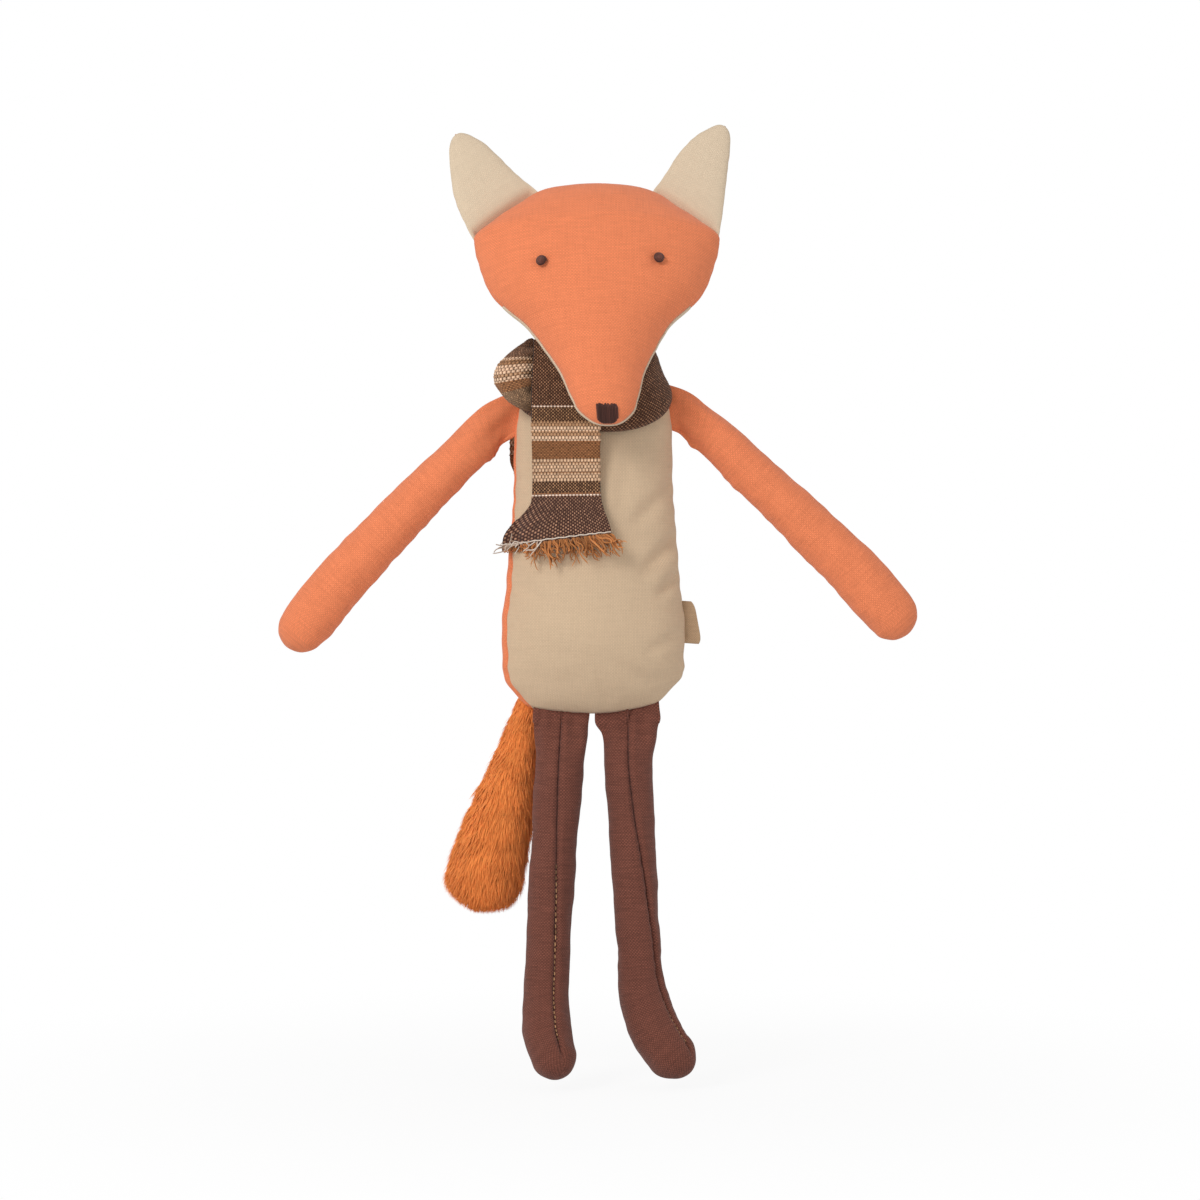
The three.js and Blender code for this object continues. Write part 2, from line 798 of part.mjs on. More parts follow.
const chinRow = headShares.findIndex(([along]) => along >= chinShare) - 1;
const chinBlock = plain(new THREE.BoxGeometry(headWidth * 2, headDepth * 2, headHeight));
const chinLevel = headShares[chinRow][0] * headHeight - sewingGap;
const chinTool = solidOf(chinBlock.translate(0, 0, chinLevel + headHeight / 2));
add(headGroup, "head_face_panel", panel(headForm, 1), orangeLinen);
add(headGroup, "head_chin_panel", cutBy(panel(headForm, -1, { rows: [0, chinRow] }), chinTool), creamLinen);
const headBackRows = [chinRow, headShares.length - 1];
add(headGroup, "head_back_panel", panel(headForm, -1, { rows: headBackRows }), orangeLinen);
add(headGroup, "head_stuffing", stuffingOf(headForm, 0), fibreFill);

for (const [name, side] of [["left", 1], ["right", -1]]) {
  const form = earForm(name, side);
  const [front, back] = [1, -1].map((way) =>
    cutBy(panel(form, way, { around: limbAround }), headToolInHead),
  );
  add(headGroup, `ear_${name}_front_panel`, front, creamLinen);
  add(headGroup, `ear_${name}_back_panel`, back, orangeLinen);
  add(headGroup, `eye_${name}`, eyeGeometry(side * eyeSpread), darkThread);
}
add(headGroup, "nose", noseGeometry(), darkThread);

for (const [name, side] of [["left", 1], ["right", -1]]) {
  const arm = armForm(name, side);
  add(fox, `arm_${name}_sleeve`, cutBy(sleeve(arm), swingTool), orangeLinen);
  add(fox, `arm_${name}_stuffing`, cutBy(stuffingOf(arm, 2, limbAround), swingTool), fibreFill);

  const leg = legForm(side, toeTurns[name]);
  const halves = [["outer", side], ["inner", -side]];
  for (const [half, way] of halves) {
    const cloth = cutBy(panel(leg, way, { around: limbAround }), swingTool);
    add(fox, `leg_${name}_${half}_panel`, cloth, brownLinen);
  }
  add(fox, `leg_${name}_stuffing`, cutBy(stuffingOf(leg, 2, limbAround), swingTool), fibreFill);
}

const tail = tailForm();
add(fox, "tail_fur_sleeve", cutBy(sleeve(tail), swingTool), orangeFur);
add(fox, "tail_stuffing", cutBy(stuffingOf(tail, 2, limbAround), swingTool), fibreFill);

const frontUpper = cutBy(
  frontStrip(frontHingeLevel + frontUpperLength, frontHingeLevel + sewingGap, [0, 0], 4),
  wrapTool,
  trunkTool,
  headTool,
);
const armTool = solidOf(fullForm(armForm("right", -1), { inset: -sewingGap, around: limbAround }));
const frontGap = plain(new THREE.BoxGeometry(frontEndWidth + sewingGap * 2, wrapFront * 4, trunkHeight));
frontGap.translate(-frontEndSide, 0, wrapLevel);
add(fox, "scarf_neck_wrap", cutBy(wrapGeometry(), trunkTool, headTool, armTool), wovenScarf);
const knot = fullForm(knotForm(), { around: limbAround });
const knotCut = cutBy(knot, trunkTool, wrapTool, headTool, armTool, solidOf(frontGap));
add(fox, "scarf_knot", knotCut, wovenScarf);
add(fox, "scarf_front_upper", frontUpper, wovenScarf);
const frontHemLevel = frontHingeLevel - frontEndLength;
const frontFlares = [frontEndLeftFlare, frontEndRightFlare];
const frontEnd = frontStrip(frontHingeLevel, frontHemLevel, frontFlares, 10);
add(fox, "scarf_front_end", cutBy(frontEnd, trunkTool), wovenScarf);
const frontFringeWidth = frontEndWidth + frontEndLeftFlare + frontEndRightFlare;
const frontFringeMiddle = (frontEndRightFlare - frontEndLeftFlare) / 2 - frontEndSide;
const frontFringe = fringeGeometry(frontFringeWidth, frontFringeMiddle, frontHemLevel, 12);
frontFringe.translate(0, frontY(-frontEndSide, frontHemLevel - fringeLength), 0);
add(fox, "scarf_front_fringe", cutBy(frontFringe, trunkTool), fringeYarn);

add(
  fox,
  "scarf_back_end",
  cutBy(
    hangingCloth(
      (u, v) => {
        const z = THREE.MathUtils.lerp(backHingeLevel, backHingeLevel - backEndLength, v);
        const x = -backEndSide + (u - 0.5) * backEndWidth;
        return new THREE.Vector3(x, backY(x, z), z);
      },
      5,
      8,
      scarfCloth,
    ),
    wrapTool,
    trunkTool,
  ),
  wovenScarf,
);
const backHem = backHingeLevel - backEndLength;
const backFringe = fringeGeometry(backEndWidth, -backEndSide, backHem, 10);
backFringe.translate(0, backY(-backEndSide, backHem - fringeLength), 0);
add(fox, "scarf_back_fringe", cutBy(backFringe, trunkTool), fringeYarn);

add(fox, "side_label", labelGeometry(), labelTape);

export default fox;
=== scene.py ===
"""Cloth, stitches, yarn and fur of a stuffed linen fox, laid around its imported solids."""

import math

import bpy
import numpy as np
from bpy.props import FloatProperty, FloatVectorProperty, IntProperty, PointerProperty
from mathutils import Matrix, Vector, noise


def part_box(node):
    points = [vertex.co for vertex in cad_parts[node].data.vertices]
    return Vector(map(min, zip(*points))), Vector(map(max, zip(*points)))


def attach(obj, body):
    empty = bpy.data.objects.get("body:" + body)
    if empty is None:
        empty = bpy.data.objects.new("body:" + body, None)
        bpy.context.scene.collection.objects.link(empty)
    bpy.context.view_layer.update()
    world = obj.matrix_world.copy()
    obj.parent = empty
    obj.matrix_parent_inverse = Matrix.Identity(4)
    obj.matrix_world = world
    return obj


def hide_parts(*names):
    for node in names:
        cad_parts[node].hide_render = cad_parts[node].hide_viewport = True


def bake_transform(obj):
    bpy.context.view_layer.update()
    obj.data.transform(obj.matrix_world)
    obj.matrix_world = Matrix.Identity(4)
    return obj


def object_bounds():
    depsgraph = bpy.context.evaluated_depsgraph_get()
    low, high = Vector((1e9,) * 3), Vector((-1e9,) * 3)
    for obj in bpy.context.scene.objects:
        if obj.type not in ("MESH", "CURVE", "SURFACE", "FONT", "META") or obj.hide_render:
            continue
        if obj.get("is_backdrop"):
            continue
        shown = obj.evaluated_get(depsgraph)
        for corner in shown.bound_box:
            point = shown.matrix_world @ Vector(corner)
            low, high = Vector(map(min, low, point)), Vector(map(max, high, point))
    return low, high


bl_info = {
    "name": "Stuffed Linen Fox",
    "version": (1, 0, 0),
    "blender": (4, 5, 0),
    "location": "View3D > Sidebar > Linen Fox",
    "description": "Sews a stuffed linen fox with a woven scarf and a fur tail",
    "category": "Add Mesh",
}

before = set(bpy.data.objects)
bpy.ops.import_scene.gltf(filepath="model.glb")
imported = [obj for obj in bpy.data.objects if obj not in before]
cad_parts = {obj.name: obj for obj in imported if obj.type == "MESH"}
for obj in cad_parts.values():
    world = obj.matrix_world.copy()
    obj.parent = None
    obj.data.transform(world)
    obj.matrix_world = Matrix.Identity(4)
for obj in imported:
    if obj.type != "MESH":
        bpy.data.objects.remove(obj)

MM = 0.001
TURN = 2 * math.pi
RIGHT = np.array([1.0, 0.0, 0.0])
FORWARD = np.array([0.0, -1.0, 0.0])
UP = np.array([0.0, 0.0, 1.0])

# Sewn sizes in millimetres, the same as the solids have.
TRUNK_HEIGHT, TRUNK_WIDTH, TRUNK_DEPTH, TRUNK_BOTTOM = 130, 69, 42, -59.5
NECK_LENGTH, NECK_WIDTH, NECK_DEPTH, NECK_LEAN = 18, 25, 12, 6
SIDE_SEAM_TURN = math.radians(16)
HEAD_HEIGHT, HEAD_WIDTH, HEAD_DEPTH = 99.5, 92, 40
HEAD_TILT = math.radians(22)
HEAD_PIVOT = np.array([1.2, 0.0, 88.5])
SNOUT_SKEW, SNOUT_SHARE, NECK_SEAM_SHARE = 4, 0.46, 0.54
CHIN_SHARE, SNOUT_TIP_SHARE = 0.49, 0.06
ARM_THICKNESS, ARM_TUCK, ARM_LEVEL, ARM_ROOT = 19, 1.2, 52.95, 29.1
LEG_THICKNESS, LEG_LENGTH, LEG_TUCK, HIP_LEVEL, HIP_ASIDE = 18.6, 137.5, 5, -60.02, 12.0
TAIL_THICKNESS, TAIL_TUCK, TAIL_SWAY, TAIL_DROP, TAIL_BACK = 30, 0.6, 24, 85, 7.5
TAIL_ASIDE, TAIL_RISE = 22.0, 9.5
WRAP_LEVEL, WRAP_WIDTH, WRAP_DEPTH, WRAP_HEIGHT, WRAP_THICKNESS = 67, 45, 30, 24, 6.4
WRAP_FORWARD, CLOTH_GAP = 3, 1.3

# Thicknesses and thread spacing of the other cloths. The ears' linen is a thinner one.
EAR_LINEN_SHARE = 0.6
WOOL_THICKNESS, TAPE_THICKNESS, TAPE_PITCH = 0.9, 0.3, 0.45

# The power that pinches an oval section at its two seams, where 1 is a plain oval.
SEAM_PINCH = 1.12

# Radii of the stitching threads and the scarf's loose yarns and threads.
EYE_THREAD, NOSE_THREAD, LEG_THREAD = 0.5, 0.36, 0.26
LOOSE_YARN, HEM_THREAD, STRAY_THREAD = 0.34, 0.24, 0.29

# A way that no thread runs along, from which each thread's section is turned, and how thick a flat
# thread is as a share of its width.
THREAD_ASIDE = np.array([0.31, 0.83, 0.47])
FLAT_SHARE = 0.3

# The scarf's ends: levels at top and hem, width, and the place of an edge (front) or the middle (back).
# Its knot lies beside the front end and leans back.
FRONT_TOP, FRONT_HEM, FRONT_WIDTH, FRONT_EDGE = 79, 5.6, 25, -22.7
BACK_TOP, BACK_HEM, BACK_WIDTH, BACK_MIDDLE = 66, 2.6, 24, -20
KNOT_HEIGHT, KNOT_LEVEL, KNOT_FRONT, KNOT_LEAN, KNOT_SIDE = 27.4, 66.9, -14.6, 6.5, -21.4

# Warp yarns across and weft rows along each end, the row at which the loop's stripes start, and the
# length above the hem at which the knot's do.
FRONT_YARNS, FRONT_ROWS, BACK_YARNS, BACK_ROWS = 40, 124, 38, 108
LOOP_START_ROW, KNOT_START = 84, 144

# Columns and rows of each mesh. The scarf's have about three points to a yarn, so that its weave is relief.
TRUNK_FRONT_COLUMNS, TRUNK_BACK_COLUMNS, TRUNK_ROWS = 116, 126, 170
HEAD_COLUMNS, SNOUT_ROWS, HEAD_ROWS = 116, 18, 150
EAR_COLUMNS, EAR_ROWS = 46, 90
ARM_COLUMNS, ARM_ROWS = 76, (120, 50)
LEG_COLUMNS, LEG_ROWS = 50, (150, 50)
TAIL_COLUMNS, TAIL_ROWS = 56, (70, 30)
LOOP_GRID, KNOT_GRID, FRONT_GRID, BACK_GRID = (130, 400), (150, 120), (121, 316), (111, 271)
TAPE_GRID = (61, 40)

# Rows of (place along, half width, half depth), as shares of each form's sizes.
TRUNK_SHARES = (
    (0, 0.7, 0), (0.013, 0.76, 0.2), (0.04, 0.83, 0.4), (0.09, 0.915, 0.63),
    (0.155, 0.975, 0.84), (0.25, 1, 0.99), (0.36, 0.95, 1), (0.5, 0.91, 0.95),
    (0.66, 0.868, 0.88), (0.8, 0.862, 0.8), (0.87, 0.835, 0.71), (0.915, 0.74, 0.62),
    (0.955, 0.57, 0.54), (0.985, 0.42, 0.47),
)
HEAD_SHARES = (
    (0, 0.07, 0), (0.02, 0.15, 0.2), (0.06, 0.225, 0.34), (0.145, 0.285, 0.46),
    (0.23, 0.346, 0.57), (0.32, 0.45, 0.7), (0.395, 0.548, 0.81),
    (0.44, 0.628, 0.87), (0.49, 0.747, 0.91),
    (0.56, 0.87, 0.97), (0.66, 0.95, 1), (0.768, 1, 0.95), (0.84, 0.852, 0.83),
    (0.9, 0.68, 0.68), (0.955, 0.53, 0.46), (0.985, 0.4, 0.24), (1, 0.2, 0),
)
EAR_SHARES = (
    (0, 1.1, 0.3), (0.13, 1.08, 0.5), (0.28, 0.98, 0.8), (0.42, 0.89, 0.95), (0.55, 0.8, 1),
    (0.67, 0.69, 1), (0.78, 0.57, 0.92), (0.87, 0.435, 0.8), (0.94, 0.3, 0.6),
    (0.985, 0.165, 0.3), (1, 0, 0),
)
ARM_SHARES = (
    (0, 1.04, 0.08), (0.04, 1.04, 0.12), (0.09, 1.01, 0.36), (0.14, 0.98, 0.66),
    (0.2, 0.91, 0.88), (0.4, 0.94, 0.94), (0.62, 0.97, 0.97), (0.86, 1, 1),
    (0.94, 0.9, 0.9), (0.98, 0.62, 0.62), (1, 0, 0),
)
LEG_SHARES = (
    (0, 0.08, 1.1), (0.045, 0.09, 1.13), (0.085, 0.36, 1.1), (0.14, 0.76, 1.0),
    (0.24, 0.94, 0.95), (0.45, 0.94, 0.93), (0.66, 0.91, 0.9), (0.77, 0.97, 0.94),
    (0.87, 1.04, 1.0), (0.94, 0.97, 0.94), (0.982, 0.62, 0.6), (1, 0, 0),
)
TAIL_SHARES = (
    (0, 0.22, 0.05), (0.03, 0.23, 0.06), (0.09, 0.32, 0.24), (0.17, 0.44, 0.41),
    (0.34, 0.62, 0.61), (0.52, 0.8, 0.8), (0.7, 0.94, 0.94), (0.85, 1, 1),
    (0.93, 0.87, 0.87), (0.98, 0.55, 0.55), (1, 0, 0),
)
KNOT_SHARES = (
    (0, 0), (0.05, 0.38), (0.13, 0.62), (0.26, 0.84), (0.38, 0.98), (0.48, 1), (0.6, 0.93),
    (0.74, 0.71), (0.86, 0.44), (0.94, 0.22), (1, 0),
)

# The scarf's weft stripes: (millimetres above the hem, weft, warp, whether the weft is double there).
SCARF_STRIPES = (
    (0, "#482c24", "#a07860", 0), (15.6, "#f0d6c4", "#9a7258", 0), (16.2, "#9a6a48", "#8a5c40", 0),
    (17.4, "#452a1e", "#b08560", 0), (21.6, "#d6b190", "#7d5238", 1), (24.0, "#ad8260", "#7d5238", 1),
    (25.2, "#d6b190", "#7d5238", 1), (27.6, "#b38a68", "#7d5238", 1), (28.8, "#d6b190", "#7d5238", 1),
    (30.0, "#a06c45", "#7d4f33", 0), (36.0, "#e6c2a2", "#7d5238", 1), (38.4, "#bf9470", "#7d5238", 1),
    (39.6, "#e6c2a2", "#7d5238", 1), (42.0, "#ba906c", "#7d5238", 1), (43.2, "#4c2f20", "#b08560", 0),
    (49.2, "#f0d6c4", "#9a7258", 0), (49.8, "#46291b", "#a27659", 0), (122.4, "#e3bf9f", "#7d5238", 1),
    (129.6, "#a06c45", "#7d4f33", 0), (136.8, "#e3bf9f", "#7d5238", 1), (144.0, "#8a6a50", "#b08c6c", 0),
    (150.0, "#a8754e", "#85583c", 0), (153.6, "#e3bf9f", "#7d5238", 1), (156.0, "#c39a76", "#7d5238", 1),
    (157.2, "#e3bf9f", "#7d5238", 1), (160.8, "#a17855", "#7d5238", 1), (162.0, "#e3bf9f", "#7d5238", 1),
    (163.2, "#6d4a36", "#a17c62", 0), (167.4, "#f0d6c4", "#9a7258", 0), (168.0, "#46291b", "#a27659", 0),
)
STRIPE_REACH = 180.0

# How far the weft stands above the warp, and how much more a double one does, how high a yarn's round
# rises, and how far it swings from over to under, all as shares of a yarn.
WEFT_LEAD, DOUBLE_LEAD = 0.12, 0.16
WEAVE_RISE, WEAVE_SWING = 0.75, 0.45

# Millimetres that a double yarn of the scarf stands out.
WEAVE_HEIGHT = 0.36


def linear_rgb(code):
    """A colour written as sRGB hex, in the linear values that the shaders use."""
    shares = [int(code[i : i + 2], 16) / 255 for i in (1, 3, 5)]
    return tuple(s / 12.92 if s <= 0.04045 else ((s + 0.055) / 1.055) ** 2.4 for s in shares)


def colour_property(name, description, code):
    return FloatVectorProperty(
        name=name, description=description, subtype="COLOR", size=3, min=0, max=1, default=linear_rgb(code)
    )


def length_property(name, description, millimetres):
    return FloatProperty(
        name=name, description=description, subtype="DISTANCE", unit="LENGTH", min=0,
        default=millimetres * MM,
    )


class FoxColours(bpy.types.PropertyGroup):
    """Colours of the cloths, threads and fur."""

    face: colour_property("Orange linen", "Head, arms and back", "#e78459")
    belly: colour_property("Cream linen", "Belly and chin", "#d3b899")
    ears: colour_property("Ear linen", "Fronts of the ears", "#dac5aa")
    legs: colour_property("Brown linen", "Legs and feet", "#6c4034")
    fur: colour_property("Fur", "Pile of the tail", "#f28f47")
    thread: colour_property("Dark thread", "Eyes and nose", "#4a2a22")
    fringe: colour_property("Fringe", "Yarn ends of the scarf", "#b57543")
    label: colour_property("Tape", "Side label", "#b29374")


class FoxSizes(bpy.types.PropertyGroup):
    """Sizes of the cloths, threads and fur."""

    linen: length_property("Linen thickness", "How thick the linen is", 0.6)
    linen_pitch: length_property("Linen pitch", "From one linen thread to the next", 0.6)
    yarn_pitch: length_property("Yarn pitch", "From one warp yarn of the scarf to the next", 0.64)
    row_pitch: length_property("Row pitch", "From one single weft row of the scarf to the next", 0.6)
    pile: length_property("Pile", "Length of the fur", 7.5)
    fringe: length_property("Fringe length", "Length of the yarn ends", 9)
    hairs: IntProperty(name="Hairs", description="How many hairs the tail has", min=100, default=11500)
    yarn_ends: IntProperty(name="Yarn ends", description="Yarn ends across a hem", min=10, default=128)


# Smooth lines and sections


def smooth_values(places, values, at):
    """Values on a monotone cubic through the given ones."""
    gaps = np.diff(places)
    rises = np.diff(values) / gaps
    slopes = np.concatenate([rises[:1], np.zeros(len(rises) - 1), rises[-1:]])
    same_way = rises[:-1] * rises[1:] > 0
    with np.errstate(divide="ignore", invalid="ignore"):
        harmonic = 2 / (1 / rises[:-1] + 1 / rises[1:])
    slopes[1:-1] = np.where(same_way, harmonic, 0)
    at = np.clip(at, places[0], places[-1])
    cell = np.clip(np.searchsorted(places, at, side="right") - 1, 0, len(gaps) - 1)
    t, gap = (at - places[cell]) / gaps[cell], gaps[cell]
    low, high = values[cell], values[cell + 1]
    blend = t * t * (3 - 2 * t)
    swing = gap * t * (1 - t) * (slopes[cell] * (1 - t) - slopes[cell + 1] * t)
    return low + (high - low) * blend + swing


def smooth_step(low, high, value):
    share = np.clip((value - low) / (high - low), 0, 1)
    return share * share * (3 - 2 * share)


def hump(value, middle, reach):
    """A smooth hump of height one round a middle value."""
    return np.exp(-(((value - middle) / reach) ** 2))


def unit(vectors):
    return vectors / np.maximum(np.linalg.norm(vectors, axis=-1, keepdims=True), 1e-12)


def everywhere(way, along):
    """The same way at each place along a line."""
    return np.tile(way, (len(along), 1))


def bezier_line(points, steps=160):
    """Points on a quadratic curve with three control points."""
    t = np.linspace(0, 1, steps)[:, None]
    a, b, c = (np.array(p, float) for p in points)
    return (1 - t) ** 2 * a + 2 * t * (1 - t) * b + t * t * c


def line_through(points, steps=160):
    """Points on a smooth curve that passes through the given ones."""
    points = np.array(points, float)
    places = np.concatenate([[0], np.cumsum(np.linalg.norm(np.diff(points, axis=0), axis=1) ** 0.5)])
    slopes = np.gradient(points, places, axis=0)
    at = np.linspace(0, places[-1], steps)
    cell = np.clip(np.searchsorted(places, at, side="right") - 1, 0, len(places) - 2)
    gap = (places[cell + 1] - places[cell])[:, None]
    t = (at[:, None] - places[cell][:, None]) / gap
    a, b = points[cell], points[cell + 1]
    along = t * (1 - t) * gap * (slopes[cell] * (1 - t) - slopes[cell + 1] * t)
    return a + (b - a) * t * t * (3 - 2 * t) + along


def curve_line(points, tuck, ways):
    """A form's line along a curve.
    Its first stretch, the tuck, runs straight back from the curve's start."""
    lengths = np.concatenate([[0], np.cumsum(np.linalg.norm(np.diff(points, axis=0), axis=1))])
    tangents = unit(np.gradient(points, axis=0))
    total = lengths[-1] + tuck

    def line(along):
        reach = along * total - tuck
        inside = np.clip(reach, 0, lengths[-1])
        middle = np.stack([np.interp(inside, lengths, points[:, k]) for k in range(3)], axis=1)
        tangent = unit(np.stack([np.interp(inside, lengths, tangents[:, k]) for k in range(3)], axis=1))
        middle = middle + tangent * (reach - inside)[:, None]
        return (middle, *ways(tangent, inside / lengths[-1]))

    return line


class SewnForm:
    """A stuffed form: pinched oval sections along a line, in millimetres."""

    def __init__(self, shares, width, depth, line):
        rows = np.array(shares, float)
        self.places = rows[:, 0]
        self.width_squares = (rows[:, 1] * width / 2) ** 2
        self.depth_squares = (rows[:, 2] * depth / 2) ** 2
        self.line = line
        steps = np.diff(line(np.linspace(0, 1, 60))[0], axis=0)
        self.length = np.sum(np.linalg.norm(steps, axis=1))

    def halves(self, along):
        """Half width and half depth at places along the form."""
        width = smooth_values(self.places, self.width_squares, along)
        depth = smooth_values(self.places, self.depth_squares, along)
        return np.sqrt(width), np.sqrt(depth)

    def surface(self, along, angles, swell=0.0):
        """Points round the form at angles from one seam. A swell adds to the halves."""
        middle, width_way, depth_way = self.line(along)
        width, depth = (half + swell for half in self.halves(along))
        rise = np.sin(angles)
        height = np.sign(rise) * np.abs(rise) ** SEAM_PINCH
        sideways = (width[:, None] * np.cos(angles))[..., None] * width_way[:, None]
        return middle[:, None] + sideways + (depth[:, None] * height)[..., None] * depth_way[:, None]


def upright_line(along):
    """The trunk's line: straight up, then leaning forward along the neck."""
    z = TRUNK_BOTTOM + along * (TRUNK_HEIGHT + NECK_LENGTH)
    lean = np.maximum(0, (z - TRUNK_BOTTOM - TRUNK_HEIGHT) / NECK_LENGTH)
    middle = np.stack([0 * z, -NECK_LEAN * lean, z], axis=1)
    return middle, everywhere(RIGHT, z), everywhere(FORWARD, z)


def trunk_form():
    """The trunk and its neck as one form."""
    whole = TRUNK_HEIGHT + NECK_LENGTH
    body = [(place * TRUNK_HEIGHT / whole, wide, deep) for place, wide, deep in TRUNK_SHARES]
    neck_half = (NECK_WIDTH / TRUNK_WIDTH, NECK_DEPTH / TRUNK_DEPTH)
    neck = [((TRUNK_HEIGHT + share * NECK_LENGTH) / whole, *neck_half) for share in (0.3, 0.65, 1)]
    return SewnForm(body + neck, TRUNK_WIDTH, TRUNK_DEPTH, upright_line)


TRUNK = trunk_form()


def trunk_front(x, z):
    """How far the trunk's front stands out at a place."""
    along = (z - TRUNK_BOTTOM) / (TRUNK_HEIGHT + NECK_LENGTH)
    width, depth = TRUNK.halves(along)
    share = np.minimum(1, np.abs(x) / np.maximum(width, 1e-6))
    return depth * (1 - share * share) ** (SEAM_PINCH / 2)


def head_share(column, along):
    """The head's half width (1) or half depth (2) straight between its rows, as a share of the largest."""
    rows = np.array(HEAD_SHARES)
    return np.interp(along, rows[:, 0], rows[:, column])


def head_turned(points):
    """Points of the upright head, tilted and set on the neck."""
    cos, sin = math.cos(HEAD_TILT), math.sin(HEAD_TILT)
    turn = np.array([[1, 0, 0], [0, cos, sin], [0, -sin, cos]])
    half_depth = head_share(2, NECK_SEAM_SHARE) * HEAD_DEPTH / 2
    pivot = np.array([0, half_depth, NECK_SEAM_SHARE * HEAD_HEIGHT])
    return (points - pivot) @ turn.T + HEAD_PIVOT


def head_way(way):
    """A way of the upright head, turned as the head is."""
    return (head_turned(np.array([way])) - head_turned(np.zeros((1, 3))))[0]


def head_line(along):
    """The tilted head's line, from its snout, which points a little aside, to its crown."""
    skew = SNOUT_SKEW * np.maximum(0, 1 - along / SNOUT_SHARE)
    height = along * HEAD_HEIGHT + 1.2 * (1 - smooth_step(0, 0.15, along))
    middle = head_turned(np.stack([skew, 0 * along, height], axis=1))
    return middle, everywhere(RIGHT, along), everywhere(head_way(FORWARD), along)


HEAD = SewnForm(HEAD_SHARES, HEAD_WIDTH, HEAD_DEPTH, head_line)


# Relief of cloth, in millimetres


def soft_noise(points, size, seed=0.0):
    """Smooth noise from -1 to 1 at points, with lumps of a size."""
    flat = points.reshape(-1, 3) / size + seed
    return np.array([noise.noise(Vector(p)) for p in flat]).reshape(points.shape[:-1])


def cloth_lengths(points):
    """Millimetres of cloth across from the first column, and down the middle column from the first row."""
    across = np.zeros(points.shape[:2])
    across[:, 1:] = np.cumsum(np.linalg.norm(np.diff(points, axis=1), axis=2), axis=1)
    down = np.zeros(points.shape[:2])
    middle = points.shape[1] // 2
    steps = np.linalg.norm(np.diff(points[:, middle], axis=0), axis=1)
    down[1:] = np.cumsum(steps)[:, None]
    return across, down


def edge_distance(across):
    """Millimetres of cloth from the nearer of the two side edges."""
    return np.minimum(across - across[:, :1], across[:, -1:] - across)


def groove(distance, depth, reach):
    """The dip of the cloth along a seam."""
    return -depth * hump(distance, 0, reach)


def puckers(distance, along, depth, spacing, seed=0.0):
    """Ripples that stitches pull into the cloth beside a seam."""
    places = np.stack([along / (2.5 * spacing), 0 * along, 0 * along], axis=-1)
    wander = soft_noise(places, 1.0, seed)
    ripple = np.sin(TURN * (along / spacing + 0.8 * wander))
    return depth * ripple * np.exp(-distance / (0.75 * spacing)) * (0.55 + 0.45 * wander)


def crease(points, start, end, depth, width):
    """A fold line from start to end, given as (x, z): a valley with a soft ridge on each side."""
    start, end = np.array(start, float), np.array(end, float)
    way = end - start
    offset = points[..., [0, 2]] - start
    along = (offset @ way) / (way @ way)
    aside = (offset @ np.array([-way[1], way[0]])) / np.linalg.norm(way)
    taper = smooth_step(-0.25, 0.15, along) * (1 - smooth_step(0.7, 1.2, along))
    near = aside / width
    return -depth * taper * (1.4 * hump(near, 0, 1) - 0.7 * hump(near, 0, 2.4))


def outward_normals(points, middle):
    """Unit normals of a grid of points that face away from its middle line."""
    normal = unit(np.cross(np.gradient(points, axis=1), np.gradient(points, axis=0)))
    facing = np.sum(normal * (points - middle[:, None]))
    return normal if facing > 0 else -normal


def weave_relief(across, down, yarn, row):
    """A plain weave's surface: thick weft yarns pass over and under thinner warp yarns in turn.
    The pale stripes have double weft yarns, which stand higher and cover more."""
    starts = np.array([stripe[0] for stripe in SCARF_STRIPES])
    double = np.array([stripe[3] for stripe in SCARF_STRIPES])[np.searchsorted(starts, down + 1e-6) - 1]
    lead = WEFT_LEAD + DOUBLE_LEAD * double
    u = np.sin(math.pi * across / yarn)
    v = np.sin(math.pi * down / row / (1 + double))
    swing = WEAVE_SWING * u * np.sign(v) * np.abs(v) ** 0.3
    weft = WEAVE_RISE * np.abs(v) ** 0.6 + lead - swing
    warp = WEAVE_RISE * np.abs(u) ** 0.8 - lead + swing
    return WEAVE_HEIGHT * np.where(double, 1, 0.5) * (np.maximum(weft, warp) - WEAVE_RISE)


# Meshes


def deselect():
    if bpy.context.object and bpy.context.object.mode != "OBJECT":
        bpy.ops.object.mode_set(mode="OBJECT")
    bpy.ops.object.select_all(action="DESELECT")


def lay_map(mesh, layer, values):
    """Writes a UV map from a pair of values for each point of the mesh."""
    corners = np.empty(len(mesh.loops), np.int32)
    mesh.loops.foreach_get("vertex_index", corners)
    layer.data.foreach_set("uv", values[corners].astype(np.float32).ravel())
    mesh.update()


def cloth_grid(name, points, across, down, middle=None):
    """A grid of cloth laid on points, with its UV map in millimetres of cloth."""
    way = np.cross(points[1:-1, 2:] - points[1:-1, :-2], points[2:, 1:-1] - points[:-2, 1:-1])
    if middle is not None and np.sum(way * (points - middle[:, None])[1:-1, 1:-1]) < 0:
        points, across, down = points[:, ::-1], across[:, ::-1], down[:, ::-1]
    rows, columns = points.shape[:2]
    deselect()
    bpy.ops.mesh.primitive_grid_add(x_subdivisions=columns - 1, y_subdivisions=rows - 1)
    piece = bpy.context.object
    piece.name = piece.data.name = name
    mesh = piece.data
    mesh.vertices.foreach_set("co", (points * MM).astype(np.float32).ravel())
    mesh.uv_layers[0].name = "cloth"
    lay_map(mesh, mesh.uv_layers[0], np.stack([across, down], axis=-1).reshape(-1, 2))
    return piece


